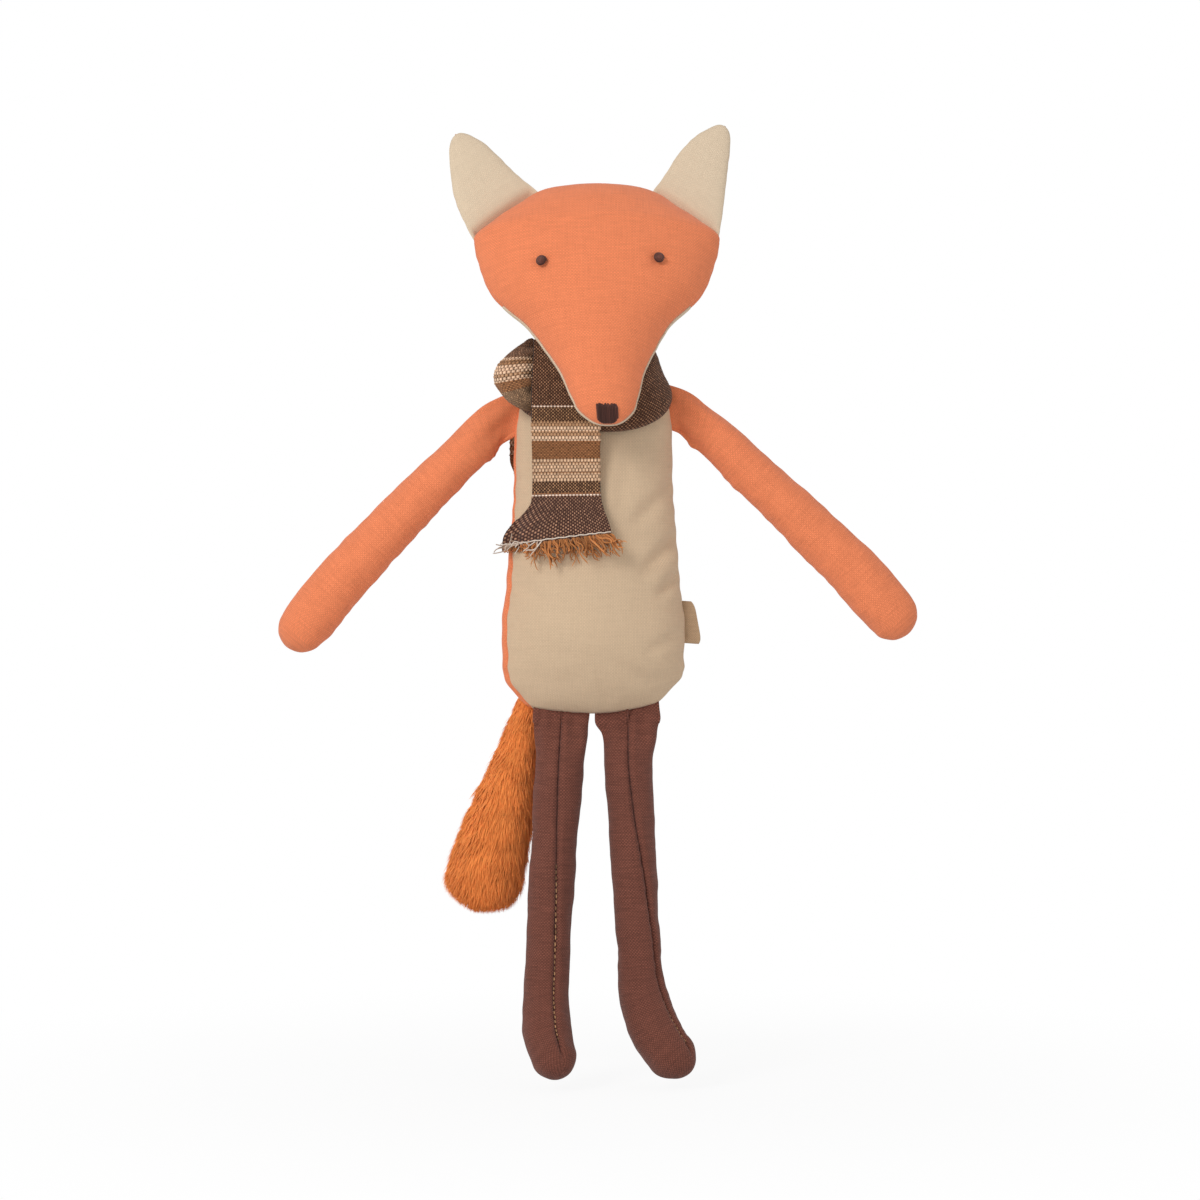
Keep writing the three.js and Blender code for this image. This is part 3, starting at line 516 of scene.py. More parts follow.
def sew_edges(piece):
    """Welds edges that lie on each other, as the seam of a sleeve or the tip of a limb."""
    bpy.context.view_layer.objects.active = piece
    bpy.ops.object.mode_set(mode="EDIT")
    bpy.ops.mesh.select_all(action="SELECT")
    bpy.ops.mesh.remove_doubles(threshold=0.02 * MM)
    bpy.ops.mesh.normals_make_consistent(inside=False)
    bpy.ops.object.mode_set(mode="OBJECT")


def give_thickness(piece, thickness):
    """Turns a sheet into closed cloth: its outer face stays, and the inner one is a cloth below it."""
    modifier = piece.modifiers.new("cloth", "SOLIDIFY")
    modifier.thickness = thickness
    modifier.offset = -1
    modifier.use_even_offset = False
    bpy.ops.object.modifier_apply(modifier=modifier.name)


def finish_cloth(piece, material, smooth=True):
    """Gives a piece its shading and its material."""
    deselect()
    piece.select_set(True)
    bpy.context.view_layer.objects.active = piece
    if smooth:
        bpy.ops.object.shade_smooth()
    piece.data.materials.clear()
    piece.data.materials.append(material)
    return piece


def thread_mesh(name, paths, radii, sides, tones, facing=None):
    """Closed tapered threads, one for each path, as one mesh. Its UV map holds a tone and the place along.
    With a facing way for each thread they are flat, and their broad side looks that way."""
    count, length = paths.shape[:2]
    ways = unit(np.gradient(paths, axis=1))
    aside = unit(np.cross(ways, THREAD_ASIDE if facing is None else facing[:, None]))
    other = np.cross(ways, aside) * (1.0 if facing is None else FLAT_SHARE)
    turns = TURN * (np.arange(sides) / sides - 0.25)
    ring = np.cos(turns)[:, None] * aside[:, :, None] + np.sin(turns)[:, None] * other[:, :, None]
    rings = paths[:, :-1, None] + radii[:, :-1, None, None] * ring[:, :-1]
    points = np.concatenate([rings.reshape(count, -1, 3), paths[:, -1:]], axis=1)
    one = thread_faces(length - 1, sides)
    size = points.shape[1]
    faces = [tuple(corner + i * size for corner in face) for i in range(count) for face in one]
    mesh = bpy.data.meshes.new(name)
    mesh.from_pydata((points.reshape(-1, 3) * MM).tolist(), [], faces)
    share = np.append(np.repeat(np.arange(length - 1) / (length - 1), sides), 1.0)
    values = np.stack([np.repeat(tones, size), np.tile(share, count)], axis=1)
    lay_map(mesh, mesh.uv_layers.new(name="cloth"), values)
    piece = bpy.data.objects.new(name, mesh)
    bpy.context.scene.collection.objects.link(piece)
    return piece


def thread_faces(rings, sides):
    """The faces of one thread: its flat root, its sides and its pointed tip."""
    faces = [tuple(reversed(range(sides)))]
    for i in range(rings - 1):
        for k in range(sides):
            a, b = i * sides + k, i * sides + (k + 1) % sides
            faces.append((a, b, b + sides, a + sides))
    last, tip = (rings - 1) * sides, rings * sides
    faces += [(last + k, last + (k + 1) % sides, tip) for k in range(sides)]
    return faces


# Materials


def add_node(tree, kind, inputs=(), **settings):
    """A node with its settings and its inputs, by place or by name.
    An input is a value, a socket, or a node whose first output is meant."""
    made = tree.nodes.new(kind)
    for name, value in settings.items():
        setattr(made, name, value)
    for place, value in inputs.items() if isinstance(inputs, dict) else enumerate(inputs):
        socket = value.outputs[0] if isinstance(value, bpy.types.Node) else value
        if isinstance(socket, bpy.types.NodeSocket):
            tree.links.new(socket, made.inputs[place])
        else:
            made.inputs[place].default_value = socket
    return made


def shaded(colour, share=1.0):
    """A colour made lighter or darker, with the alpha that a shader's input needs."""
    return (*(min(1.0, c * share) for c in colour), 1.0)


def bare_material(name):
    material = bpy.data.materials.new(name)
    material.use_nodes = True
    material.node_tree.nodes.clear()
    return material, material.node_tree


def cloth_material(name):
    """A material whose Principled shader is rough and matt, as spun fibres are."""
    material, tree = bare_material(name)
    matt = {"Roughness": 0.92, "Specular IOR Level": 0.18, "Sheen Weight": 0.12, "Sheen Roughness": 0.5}
    shader = add_node(tree, "ShaderNodeBsdfPrincipled", matt)
    add_node(tree, "ShaderNodeOutputMaterial", {"Surface": shader})
    return material, tree, shader


def thread_places(tree, pitch):
    """The cloth's place counted in threads across and down, with threads that wander a little."""
    cloth = add_node(tree, "ShaderNodeUVMap", uv_map="cloth")
    drift = add_node(tree, "ShaderNodeTexNoise", {"Vector": cloth, "Scale": 0.35, "Detail": 3.0})
    centred = (drift.outputs[1], (0.5, 0.5, 0.5))
    offset = add_node(tree, "ShaderNodeVectorMath", centred, operation="SUBTRACT")
    wander = (0.35, 0.35, 0)
    moved = add_node(tree, "ShaderNodeVectorMath", (offset, wander, cloth), operation="MULTIPLY_ADD")
    split = add_node(tree, "ShaderNodeSeparateXYZ", (moved,))
    u = add_node(tree, "ShaderNodeMath", (split.outputs[0], pitch / MM), operation="DIVIDE")
    v = add_node(tree, "ShaderNodeMath", (split.outputs[1], pitch / MM), operation="DIVIDE")
    return u, v


def woven_threads(tree, u, v, lead):
    """Where the warp lies on top, from 0 to 1, and the height of the threads.
    With a lead the weft is the thicker one and covers more."""
    turns = [add_node(tree, "ShaderNodeMath", (count, math.pi), operation="MULTIPLY") for count in (u, v)]
    across, down = (add_node(tree, "ShaderNodeMath", (turn,), operation="SINE") for turn in turns)
    wide = add_node(tree, "ShaderNodeMath", (across,), operation="ABSOLUTE")
    tall = add_node(tree, "ShaderNodeMath", (down,), operation="ABSOLUTE")
    way = add_node(tree, "ShaderNodeMath", (down,), operation="SIGN")
    steep = add_node(tree, "ShaderNodeMath", (tall, 0.3), operation="POWER")
    turned = add_node(tree, "ShaderNodeMath", (way, steep), operation="MULTIPLY")
    crossed = add_node(tree, "ShaderNodeMath", (across, turned), operation="MULTIPLY")
    swing = add_node(tree, "ShaderNodeMath", (crossed, WEAVE_SWING), operation="MULTIPLY")
    weft_round = add_node(tree, "ShaderNodeMath", (tall, 0.6), operation="POWER")
    weft_rise = add_node(tree, "ShaderNodeMath", (weft_round, WEAVE_RISE, lead), operation="MULTIPLY_ADD")
    weft = add_node(tree, "ShaderNodeMath", (weft_rise, swing), operation="SUBTRACT")
    warp_round = add_node(tree, "ShaderNodeMath", (wide, 0.8), operation="POWER")
    warp_rise = add_node(tree, "ShaderNodeMath", (warp_round, WEAVE_RISE, swing), operation="MULTIPLY_ADD")
    warp = add_node(tree, "ShaderNodeMath", (warp_rise, lead), operation="SUBTRACT")
    gap = add_node(tree, "ShaderNodeMath", (warp, weft), operation="SUBTRACT")
    edge = {"Value": gap, "From Min": -0.08, "From Max": 0.08}
    over = add_node(tree, "ShaderNodeMapRange", edge, interpolation_type="SMOOTHSTEP")
    return over, add_node(tree, "ShaderNodeMath", (weft, warp), operation="MAXIMUM")


def streaks(tree, u, v, along, seed):
    """Noise that runs along threads: a little different from thread to thread, slow along each one."""
    slow = add_node(tree, "ShaderNodeMath", (v, along), operation="MULTIPLY")
    place = add_node(tree, "ShaderNodeCombineXYZ", (u, slow, seed))
    return add_node(tree, "ShaderNodeTexNoise", {"Vector": place, "Scale": 1.0, "Detail": 2.0})


def streaked_threads(tree, over, u, v, along, seeds):
    """The streaks of the thread that lies on top."""
    warp, weft = streaks(tree, u, v, along, seeds[0]), streaks(tree, v, u, along, seeds[1])
    return add_node(tree, "ShaderNodeMix", {0: over, 2: weft, 3: warp}, data_type="FLOAT")


def colour_threads(tree, shader, colour, light):
    """Gives the shader a colour that is lit thread by thread."""
    lit = add_node(tree, "ShaderNodeVectorMath", {0: colour, "Scale": light}, operation="SCALE")
    tree.links.new(lit.outputs[0], shader.inputs["Base Color"])


def raise_threads(tree, shader, surface, strength, depth):
    """Gives the shader threads that stand out by some millimetres."""
    bump = add_node(
        tree, "ShaderNodeBump", {"Height": surface, "Strength": strength, "Distance": depth * MM}
    )
    tree.links.new(bump.outputs[0], shader.inputs["Normal"])


def linen(name, colour, shares, pitch, contrast):
    """Plain-woven linen of uneven spun threads, whose slubs make some threads lighter and thicker, with
    painted shade in the hollows between the threads.
    Its warp and weft have their own shares of the colour. Real threads lie half a millimetre apart,
    and here they are a little coarser, so that they show."""
    warp_colour, weft_colour = (shaded(colour, share) for share in shares)
    material, tree, shader = cloth_material(name)
    u, v = thread_places(tree, pitch)
    over, height = woven_threads(tree, u, v, 0.0)
    tone = streaked_threads(tree, over, u, v, 0.09, (1.7, 5.3))
    darkest, lightest = 1 - 0.13 * contrast, 1 + 0.11 * contrast
    slubs = {"Value": tone, "From Min": 0.3, "From Max": 0.7, "To Min": darkest, "To Max": lightest}
    spun = add_node(tree, "ShaderNodeMapRange", slubs)
    # Painted shade: the colour darkens where the threads lie low, in the hollows between them. The slubs'
    # tones are the threads' own.
    painted_hollow_shade = (height, 0.28 * contrast, 1 - 0.21 * contrast)
    depth = add_node(tree, "ShaderNodeMath", painted_hollow_shade, operation="MULTIPLY_ADD")
    light = add_node(tree, "ShaderNodeMath", (spun, depth), operation="MULTIPLY")
    dyed = add_node(tree, "ShaderNodeMix", {0: over, 6: weft_colour, 7: warp_colour}, data_type="RGBA")
    colour_threads(tree, shader, dyed.outputs[2], light)
    surface = add_node(tree, "ShaderNodeMath", (tone, 0.5, height), operation="MULTIPLY_ADD")
    raise_threads(tree, shader, surface, 0.5, 0.18)
    return material


def stripe_ramp(tree, position, column):
    """The flat stripes over the scarf's length, and where they have double yarns."""
    ramp = add_node(tree, "ShaderNodeValToRGB", (position,))
    ramp.color_ramp.interpolation = "CONSTANT"
    elements = ramp.color_ramp.elements
    elements.remove(elements[-1])
    for index, stripe in enumerate(SCARF_STRIPES):
        place = stripe[0] / STRIPE_REACH
        element = elements[0] if index == 0 else elements.new(place)
        element.position = place
        element.color = (*linear_rgb(stripe[column]), stripe[3])
    return ramp.outputs


def striped_rows(tree, down, row):
    """The colours of weft and warp in each row, and how many rows its weft yarn takes."""
    rows = add_node(tree, "ShaderNodeMath", (down, row), operation="DIVIDE")
    whole = add_node(tree, "ShaderNodeMath", (rows,), operation="FLOOR")
    middle = add_node(tree, "ShaderNodeMath", (whole, 0.5), operation="ADD")
    place = add_node(tree, "ShaderNodeMath", (middle, row), operation="MULTIPLY")
    position = add_node(tree, "ShaderNodeMath", (place, STRIPE_REACH), operation="DIVIDE")
    weft, warp = (stripe_ramp(tree, position, column) for column in (1, 2))
    return weft[0], warp[0], weft[1]


def uneven_yarns(tree, over, u, v, tone):
    """Light and dark stitches: streaks along each yarn, and a step where a warp yarn comes up."""
    whole = [add_node(tree, "ShaderNodeMath", (count,), operation="FLOOR") for count in (u, v)]
    bead = add_node(tree, "ShaderNodeCombineXYZ", (*whole, 4.7))
    odd = add_node(tree, "ShaderNodeTexWhiteNoise", {"Vector": bead})
    centred = add_node(tree, "ShaderNodeMath", (odd, 0.5), operation="SUBTRACT")
    spread = add_node(tree, "ShaderNodeMath", (over, 0.75, 0.22), operation="MULTIPLY_ADD")
    stepped = add_node(tree, "ShaderNodeMath", (centred, spread), operation="MULTIPLY")
    streaked = add_node(tree, "ShaderNodeMath", (tone, 0.8, 0.61), operation="MULTIPLY_ADD")
    return add_node(tree, "ShaderNodeMath", (streaked, stepped), operation="ADD")


def woven_wool(name, yarn, row):
    """Coarse plain-woven wool: soft yarns that can be counted, with weft stripes across the scarf and
    painted shade in the hollows between the yarns.
    """
    material, tree, shader = cloth_material(name)
    cloth = add_node(tree, "ShaderNodeUVMap", uv_map="cloth")
    across, down, _ = add_node(tree, "ShaderNodeSeparateXYZ", (cloth,)).outputs
    weft_colour, warp_colour, double = striped_rows(tree, down, row / MM)
    taken = add_node(tree, "ShaderNodeMath", (double, 1.0), operation="ADD")
    tall = add_node(tree, "ShaderNodeMath", (taken, row / MM), operation="MULTIPLY")
    u = add_node(tree, "ShaderNodeMath", (across, yarn / MM), operation="DIVIDE")
    v = add_node(tree, "ShaderNodeMath", (down, tall), operation="DIVIDE")
    lead = add_node(tree, "ShaderNodeMath", (double, DOUBLE_LEAD, WEFT_LEAD), operation="MULTIPLY_ADD")
    over, height = woven_threads(tree, u, v, lead)
    tone = streaked_threads(tree, over, u, v, 0.3, (2.4, 6.2))
    varied = uneven_yarns(tree, over, u, v, tone)
    # Painted shade: the colour darkens where the yarns lie low, in the hollows between them. The streaks and
    # steps are the yarns' own tones.
    depth = add_node(tree, "ShaderNodeMath", (height, 0.62, 0.32), operation="MULTIPLY_ADD")
    light = add_node(tree, "ShaderNodeMath", (depth, varied), operation="MULTIPLY")
    dyed = add_node(tree, "ShaderNodeMix", {0: over, 6: weft_colour, 7: warp_colour}, data_type="RGBA")
    colour_threads(tree, shader, dyed.outputs[2], light)
    fibres = add_node(tree, "ShaderNodeTexNoise", {"Vector": cloth, "Scale": 3.2, "Detail": 3.0})
    surface = add_node(tree, "ShaderNodeMath", (fibres, 0.6, height), operation="MULTIPLY_ADD")
    raise_threads(tree, shader, surface, 0.6, 0.35)
    return material


def spun_thread(name, dark, light, tip_lift=0.0, roughness=0.85):
    """Spun thread or hair: each one has its own tone, and light catches its tip."""
    material, tree, shader = cloth_material(name)
    shader.inputs["Roughness"].default_value = roughness
    cloth = add_node(tree, "ShaderNodeUVMap", uv_map="cloth")
    tone, along, _ = add_node(tree, "ShaderNodeSeparateXYZ", (cloth,)).outputs
    dyed = add_node(tree, "ShaderNodeMix", {0: tone, 6: dark, 7: light}, data_type="RGBA")
    lift = (along, tip_lift, 1 - 0.6 * tip_lift)
    lifted = add_node(tree, "ShaderNodeMath", lift, operation="MULTIPLY_ADD")
    colour_threads(tree, shader, dyed.outputs[2], lifted)
    return material


# Pieces


def seam_normals(points, middle, distance):
    """Outward normals that turn away from the middle line at the edges, where two panels meet."""
    away = unit(points - middle[:, None])
    share = smooth_step(0, 2.5, distance)[..., None]
    return unit(away * (1 - share) + outward_normals(points, middle) * share)


def panel_piece(
    name, form, along, angles, relief, thickness, swell=0.0, seam=0.75, reshape=None, tip=0.0
):
    """One panel of a sewn form between two seams. Panels that share a seam get the same edge.
    Over the millimetres of the tip the seam's groove fades out."""
    points = form.surface(along, angles, swell)
    middle = form.line(along)[0]
    across, down = cloth_lengths(points)
    distance = edge_distance(across)
    places = along[:, None] * form.length + 0 * distance
    fade = 1 - smooth_step(form.length - tip, form.length - 1, places) if tip else 1
    pull = (groove(distance, seam, 1.2) + groove(distance, 0.55 * seam, 0.3)) * fade
    height = pull + relief(points, distance, places)
    points = points + seam_normals(points, middle, distance) * height[..., None]
    points = reshape(points) if reshape else points
    centre = across[:, across.shape[1] // 2][:, None]
    piece = cloth_grid(name, points, across - centre, down, middle)
    give_thickness(piece, thickness)
    return piece


def sleeve_piece(name, form, along, columns, relief, thickness):
    """A sewn tube whose root is open and whose tip is closed."""
    angles = np.linspace(0, TURN, columns + 1) + math.pi
    points = form.surface(along, angles)
    middle = form.line(along)[0]
    across, down = cloth_lengths(points)
    distance = edge_distance(across)
    places = along[:, None] * form.length + 0 * distance
    height = groove(distance, 0.5, 1.0) + relief(points, distance, places)
    points = points + seam_normals(points, middle, distance) * height[..., None]
    points[:, -1] = points[:, 0]
    piece = cloth_grid(name, points, across, down, middle)
    sew_edges(piece)
    give_thickness(piece, thickness)
    return piece


def seam_to_seam(start, end, count, crowd=0.72):
    """Angles from one seam to the next, closer together at the seams, where the grooves are."""
    t = np.linspace(0, 1, count)
    return start + (end - start) * (t - crowd * np.sin(TURN * t) / TURN)


def calm_tip(places):
    """One along a limb, and nothing at its tip, where relief would tear the closed end."""
    return 1 - smooth_step(places.max() - 9, places.max() - 1, places)


def rounded_places(first, count):
    """Places along a form, from the first one to its rounded end, where they crowd together."""
    t = np.linspace(0, 1, count)
    return first + (1 - first) * (1 - (1 - t) ** 1.8)


def limb_places(first, bend, straight, rounded):
    """Even places along a limb as far as its bend, then those of its rounded end."""
    return np.concatenate([np.linspace(first, bend, straight)[:-1], rounded_places(bend, rounded)])


# The trunk's folds: (start and end as x and z, depth, width), in millimetres.
TRUNK_FOLDS = (
    ((33, 9), (18, -7), 1.7, 2.8), ((35, -4), (24, -15), 1.6, 2.4), ((31, 28), (14, 10), 1.2, 3.2),
    ((-30, -8), (-16, -20), 0.5, 3.0), ((6, -57), (2, -43), 0.7, 2.4), ((22, -50), (8, -40), 0.7, 3.6),
    ((13, 40), (9, 12), 0.7, 3.0), ((31, -30), (20, -36), 0.8, 2.6),
)


def trunk_relief(points, distance, places):
    """Soft lumps of stuffing, folds that run in from the sides and pulls along the side seams."""
    height = 0.8 * soft_noise(points, 26, 3.1) + 0.3 * soft_noise(points, 9, 7.7)
    front = smooth_step(0.0, -6.0, points[..., 1])
    for start, end, depth, width in TRUNK_FOLDS:
        height += crease(points, start, end, depth, width) * front
    inside = smooth_step(0.5, 6, distance)
    bottom = points[..., 2] - TRUNK_BOTTOM
    return height * inside * smooth_step(0, 5, bottom) + puckers(distance, places, 0.3, 8.5, 2.2)


def trunk_settled(points):
    """The lower edge rises at its corners, where the legs pull the seam, and the hips sit fuller."""
    x, z = points[..., 0], points[..., 2]
    low = 1 - smooth_step(TRUNK_BOTTOM, TRUNK_BOTTOM + 22, z)
    rise = np.where(x > 0, 4.2, 2.6) * np.minimum(1.3, np.abs(x) / 24) ** 2
    fuller = hump(z, -50, 9)
    settled = points.copy()
    settled[..., 2] += low * rise
    settled[..., 0] += fuller * (2.6 * smooth_step(12, 30, x) - 2.2 * smooth_step(-12, -30, x))
    return settled


class FOX_OT_trunk(bpy.types.Operator):
    """Sew the trunk: a cream front panel and an orange back panel that shows at one side"""

    bl_idname = "fox.trunk"
    bl_label = "Trunk"

    def execute(self, context):
        colours, sizes = context.scene.fox_colours, context.scene.fox_sizes
        pitch = sizes.linen_pitch
        cream = linen("cream plain-woven linen", colours.belly, (1.03, 0.95), pitch, 0.4)
        orange = linen("orange plain-woven linen", colours.face, (0.97, 1.06), pitch, 0.8)
        along = np.linspace(0, 1, TRUNK_ROWS)
        seam = (math.pi - SIDE_SEAM_TURN * (1 - 0.5 * smooth_step(0.3, 0.6, along)))[:, None]
        rows = (
            ("trunk_front_linen", seam_to_seam(0 * seam, seam, TRUNK_FRONT_COLUMNS)),
            ("trunk_back_linen", seam_to_seam(seam, TURN, TRUNK_BACK_COLUMNS)),
        )
        front, back = (
            panel_piece(name, TRUNK, along, angles, trunk_relief, sizes.linen, reshape=trunk_settled)
            for name, angles in rows
        )
        finish_cloth(front, cream)
        finish_cloth(back, orange)
        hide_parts("body_front_panel", "body_stuffing")
        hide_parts("body_back_panel")
        for piece in (front, back):
            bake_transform(piece)
        return {"FINISHED"}


def head_relief(points, distance, places):
    """Soft lumps, pulls along the seams and a dimple with small rays round each eye."""
    height = 0.6 * soft_noise(points, 30, 11.3) + 0.2 * soft_noise(points, 8, 2.9)
    height = height * smooth_step(0.5, 6, distance) + puckers(distance, places, 0.16, 7.0, 4.4)
    for place, _ in eye_places():
        away = np.linalg.norm(points - place, axis=-1)
        around = np.arctan2(points[..., 2] - place[2], points[..., 0] - place[0])
        rays = 0.25 * np.cos(9 * around) * hump(away, 4, 2.2)
        height += rays - 1.1 * hump(away, 0, 3.2)
    return height


def crown_rolled(points):
    """The back of the head rolls up a little behind the top seam, so that its rim shows in front."""
    up, back = head_way(UP), -head_way(FORWARD)
    height = (points - HEAD_PIVOT) @ up
    depth = (points - HEAD_PIVOT) @ back + HEAD_DEPTH / 2
    roll = smooth_step(HEAD_HEIGHT * 0.3, HEAD_HEIGHT * 0.42, height)
    behind = smooth_step(0.2, 2.4, depth) * (1 - smooth_step(4, 12, depth))
    return points + up * (1.5 * roll * behind)[..., None]


class FOX_OT_head(bpy.types.Operator):
    """Sew the head: an orange face, an orange back and a cream chin whose edge shows along the snout"""

    bl_idname = "fox.head"
    bl_label = "Head"

    def execute(self, context):
        colours, sizes = context.scene.fox_colours, context.scene.fox_sizes
        pitch = sizes.linen_pitch
        orange = linen("orange plain-woven linen of the head", colours.face, (0.96, 1.08), pitch, 0.75)
        cream = linen("cream plain-woven linen of the chin", colours.ears, (1.04, 0.98), pitch, 0.4)
        snout_rows = np.linspace(0, SNOUT_TIP_SHARE, SNOUT_ROWS)[:-1]
        along = np.concatenate([snout_rows, np.linspace(SNOUT_TIP_SHARE, 1, HEAD_ROWS)])
        chin_rows = along[along <= CHIN_SHARE + 0.01]
        back_rows = along[along >= CHIN_SHARE - 0.01]
        front_half = seam_to_seam(0, math.pi, HEAD_COLUMNS)
        back_half = seam_to_seam(math.pi, TURN, HEAD_COLUMNS)
        thickness = sizes.linen
        face = panel_piece("head_face_linen", HEAD, along, front_half, head_relief, thickness, seam=0.5)
        chin = panel_piece(
            "head_chin_linen", HEAD, chin_rows, back_half, head_relief, thickness, 0.2, seam=0.2
        )
        back = panel_piece(
            "head_back_linen", HEAD, back_rows, back_half, head_relief, thickness, seam=0.5,
            reshape=crown_rolled,
        )
        finish_cloth(face, orange)
        finish_cloth(chin, cream)
        finish_cloth(back, orange)
        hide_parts("head_face_panel", "head_stuffing")
        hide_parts("head_chin_panel")
        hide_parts("head_back_panel")
        for piece in (face, chin, back):
            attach(piece, "head")
        return {"FINISHED"}


# The eyes: (name, millimetres across, share of the head's height), and the windings of an eye's knot:
# (turns, radius, lift off the cloth, start of the turn).
EYES = (("eye_right", -20.1, 0.594), ("eye_left", 22.6, 0.609))
EYE_WINDINGS = ((3.2, 1.75, 0.5, 0.0), (2.4, 1.3, 1.05, 1.2), (1.3, 0.7, 1.5, 2.1))


def eye_places():
    """Each eye's centre on the face and the way it looks."""
    found = []
    for _, x, height in EYES:
        along = np.array([height])
        width, _ = HEAD.halves(along)
        angle = np.arccos(x / width)
        place = HEAD.surface(along, angle)[0, 0]
        beside = HEAD.surface(along, angle + 0.02)[0, 0]
        above = HEAD.surface(along + 0.01, angle)[0, 0]
        found.append((place, unit(np.cross(above - place, beside - place))))
    return found


class FOX_OT_eyes(bpy.types.Operator):
    """Stitch each eye as a small knot of dark thread, wound round itself"""

    bl_idname = "fox.eyes"
    bl_label = "Eyes"

    def execute(self, context):
        colour = context.scene.fox_colours.thread
        # The knot's lighter tone is far lighter than the thread's colour: it is a painted highlight.
        dark = spun_thread("dark cotton knot thread", shaded(colour, 0.6), shaded(colour, 2.4), 0.0, 0.4)
        for (name, _, _), (place, way) in zip(EYES, eye_places()):
            way = way if way[1] < 0 else -way
            aside = unit(np.cross(UP, way))
            above = np.cross(way, aside)
            paths = []
            t = np.linspace(0, 1, 60)
            for turns, wide, lift, first in EYE_WINDINGS:
                angle = TURN * turns * t + first
                radius = wide * (1 - 0.75 * t)
                rise = lift + 0.5 * np.sin(math.pi * t)
                ring = radius[:, None] * (np.cos(angle)[:, None] * aside + np.sin(angle)[:, None] * above)
                paths.append(place + ring + rise[:, None] * way)
            radii = np.full((len(paths), len(t)), EYE_THREAD)
            # The higher windings get the lighter tones, a painted highlight on the top of the knot.
            knot = thread_mesh(f"{name}_knot", np.array(paths), radii, 8, np.array([0.2, 0.5, 0.8]))
            finish_cloth(knot, dark)
            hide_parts(name)
            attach(knot, "head")
        return {"FINISHED"}


# The nose is two layers of stitches side by side.
NOSE_HALF_WIDTH, NOSE_STITCHES = 3.35, 13


class FOX_OT_nose(bpy.types.Operator):
    """Stitch the nose: upright satin stitches side by side over the tip of the snout"""

    bl_idname = "fox.nose"
    bl_label = "Nose"

    def execute(self, context):
        colour = context.scene.fox_colours.thread
        dark = spun_thread(
            "dark satin-stitched cotton", shaded(colour, 0.75), shaded(colour, 1.35), 0.0, 0.45
        )
        pick = np.random.default_rng(5)
        steps = 40
        sunk = np.maximum(0, np.abs(np.linspace(-1, 1, steps)) - 0.88) * 7
        paths, tones = [], []
        for layer in (0, 1):
            for x in np.linspace(-NOSE_HALF_WIDTH, NOSE_HALF_WIDTH, NOSE_STITCHES) + 0.2 * layer:
                top = 0.056 + pick.uniform(-0.005, 0.006)
                end = 0.001 + 0.013 * (abs(x) / 3.5) ** 4
                along = top + (end - top) * np.linspace(0, 1, steps) ** 0.8
                width, _ = HEAD.halves(along)
                angles = np.arccos(np.clip(x / width, -0.97, 0.97))
                row = HEAD.surface(along, angles[:, None])[:, 0]
                row[:, 0] = HEAD.line(along)[0][:, 0] + x
                for _ in range(6):
                    row[1:-1] = (row[:-2] + row[1:-1] * 2 + row[2:]) / 4
                out = unit(row - HEAD.line(np.array([0.11]))[0][0])
                paths.append(row + out * (0.3 + 0.25 * layer - sunk)[:, None])
                tones.append(pick.uniform())
        radii = np.full((len(paths), steps), NOSE_THREAD)
        nose = thread_mesh("nose_stitches", np.array(paths), radii, 6, np.array(tones))
        finish_cloth(nose, dark)
        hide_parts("nose")
        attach(nose, "head")
        return {"FINISHED"}


# The ears: (name, side, bend at the root, (length, bow, lean, shift)), and where an ear's two corners
# sit on the head's outline.
EARS = (
    ("left", 1, 2.0, (41.5, -0.3, math.radians(21), -1.6)),
    ("right", -1, 3.0, (39.5, 2.0, math.radians(27), -0.2)),
)
EAR_ROOT_SHARES = (0.775, 0.965)
EAR_TUCK, EAR_DEPTH = 5, 5.0


def head_corner(side, share):
    """A corner of an ear on the upright head's outline."""
    half = head_share(1, share) * HEAD_WIDTH / 2
    return np.array([side * half, 0, share * HEAD_HEIGHT])


def ear_form(side, length, bow, lean, shift):
    """An ear that leans out, and bows and shifts sideways on its way to the tip."""
    low, high = (head_corner(side, share) for share in EAR_ROOT_SHARES)
    across = (high - low) * -side
    axis = np.array([side * math.sin(lean), 0, math.cos(lean)])
    root = (low + high) / 2 - axis * EAR_TUCK
    width_way, depth_way = head_way(unit(across)), head_way(FORWARD)

    def line(along):
        middle = root + along[:, None] * axis * (length + EAR_TUCK)
        middle[:, 0] += side * bow * np.sin(math.pi * along) + shift * smooth_step(0.1, 0.6, along)
        middle[:, 0] -= side * 1.2 * (1 - smooth_step(0, 0.45, along))
        middle[:, 0] += side * 1.3 * smooth_step(0.72, 1, along)
        return head_turned(middle), everywhere(width_way, along), everywhere(depth_way, along)

    return SewnForm(EAR_SHARES, np.linalg.norm(across), EAR_DEPTH, line)


def ear_relief(side, bend):
    """Soft lumps. Near the head both halves bend back, so that the ear sinks behind the head's seam."""

    def relief(points, distance, places):
        height = 0.35 * soft_noise(points, 14, 5.0 + side) - bend * hump(places, 5.5, 2.6)
        return height * smooth_step(0.3, 3.5, distance) + puckers(distance, places, 0.1, 6.5, side)

    return relief


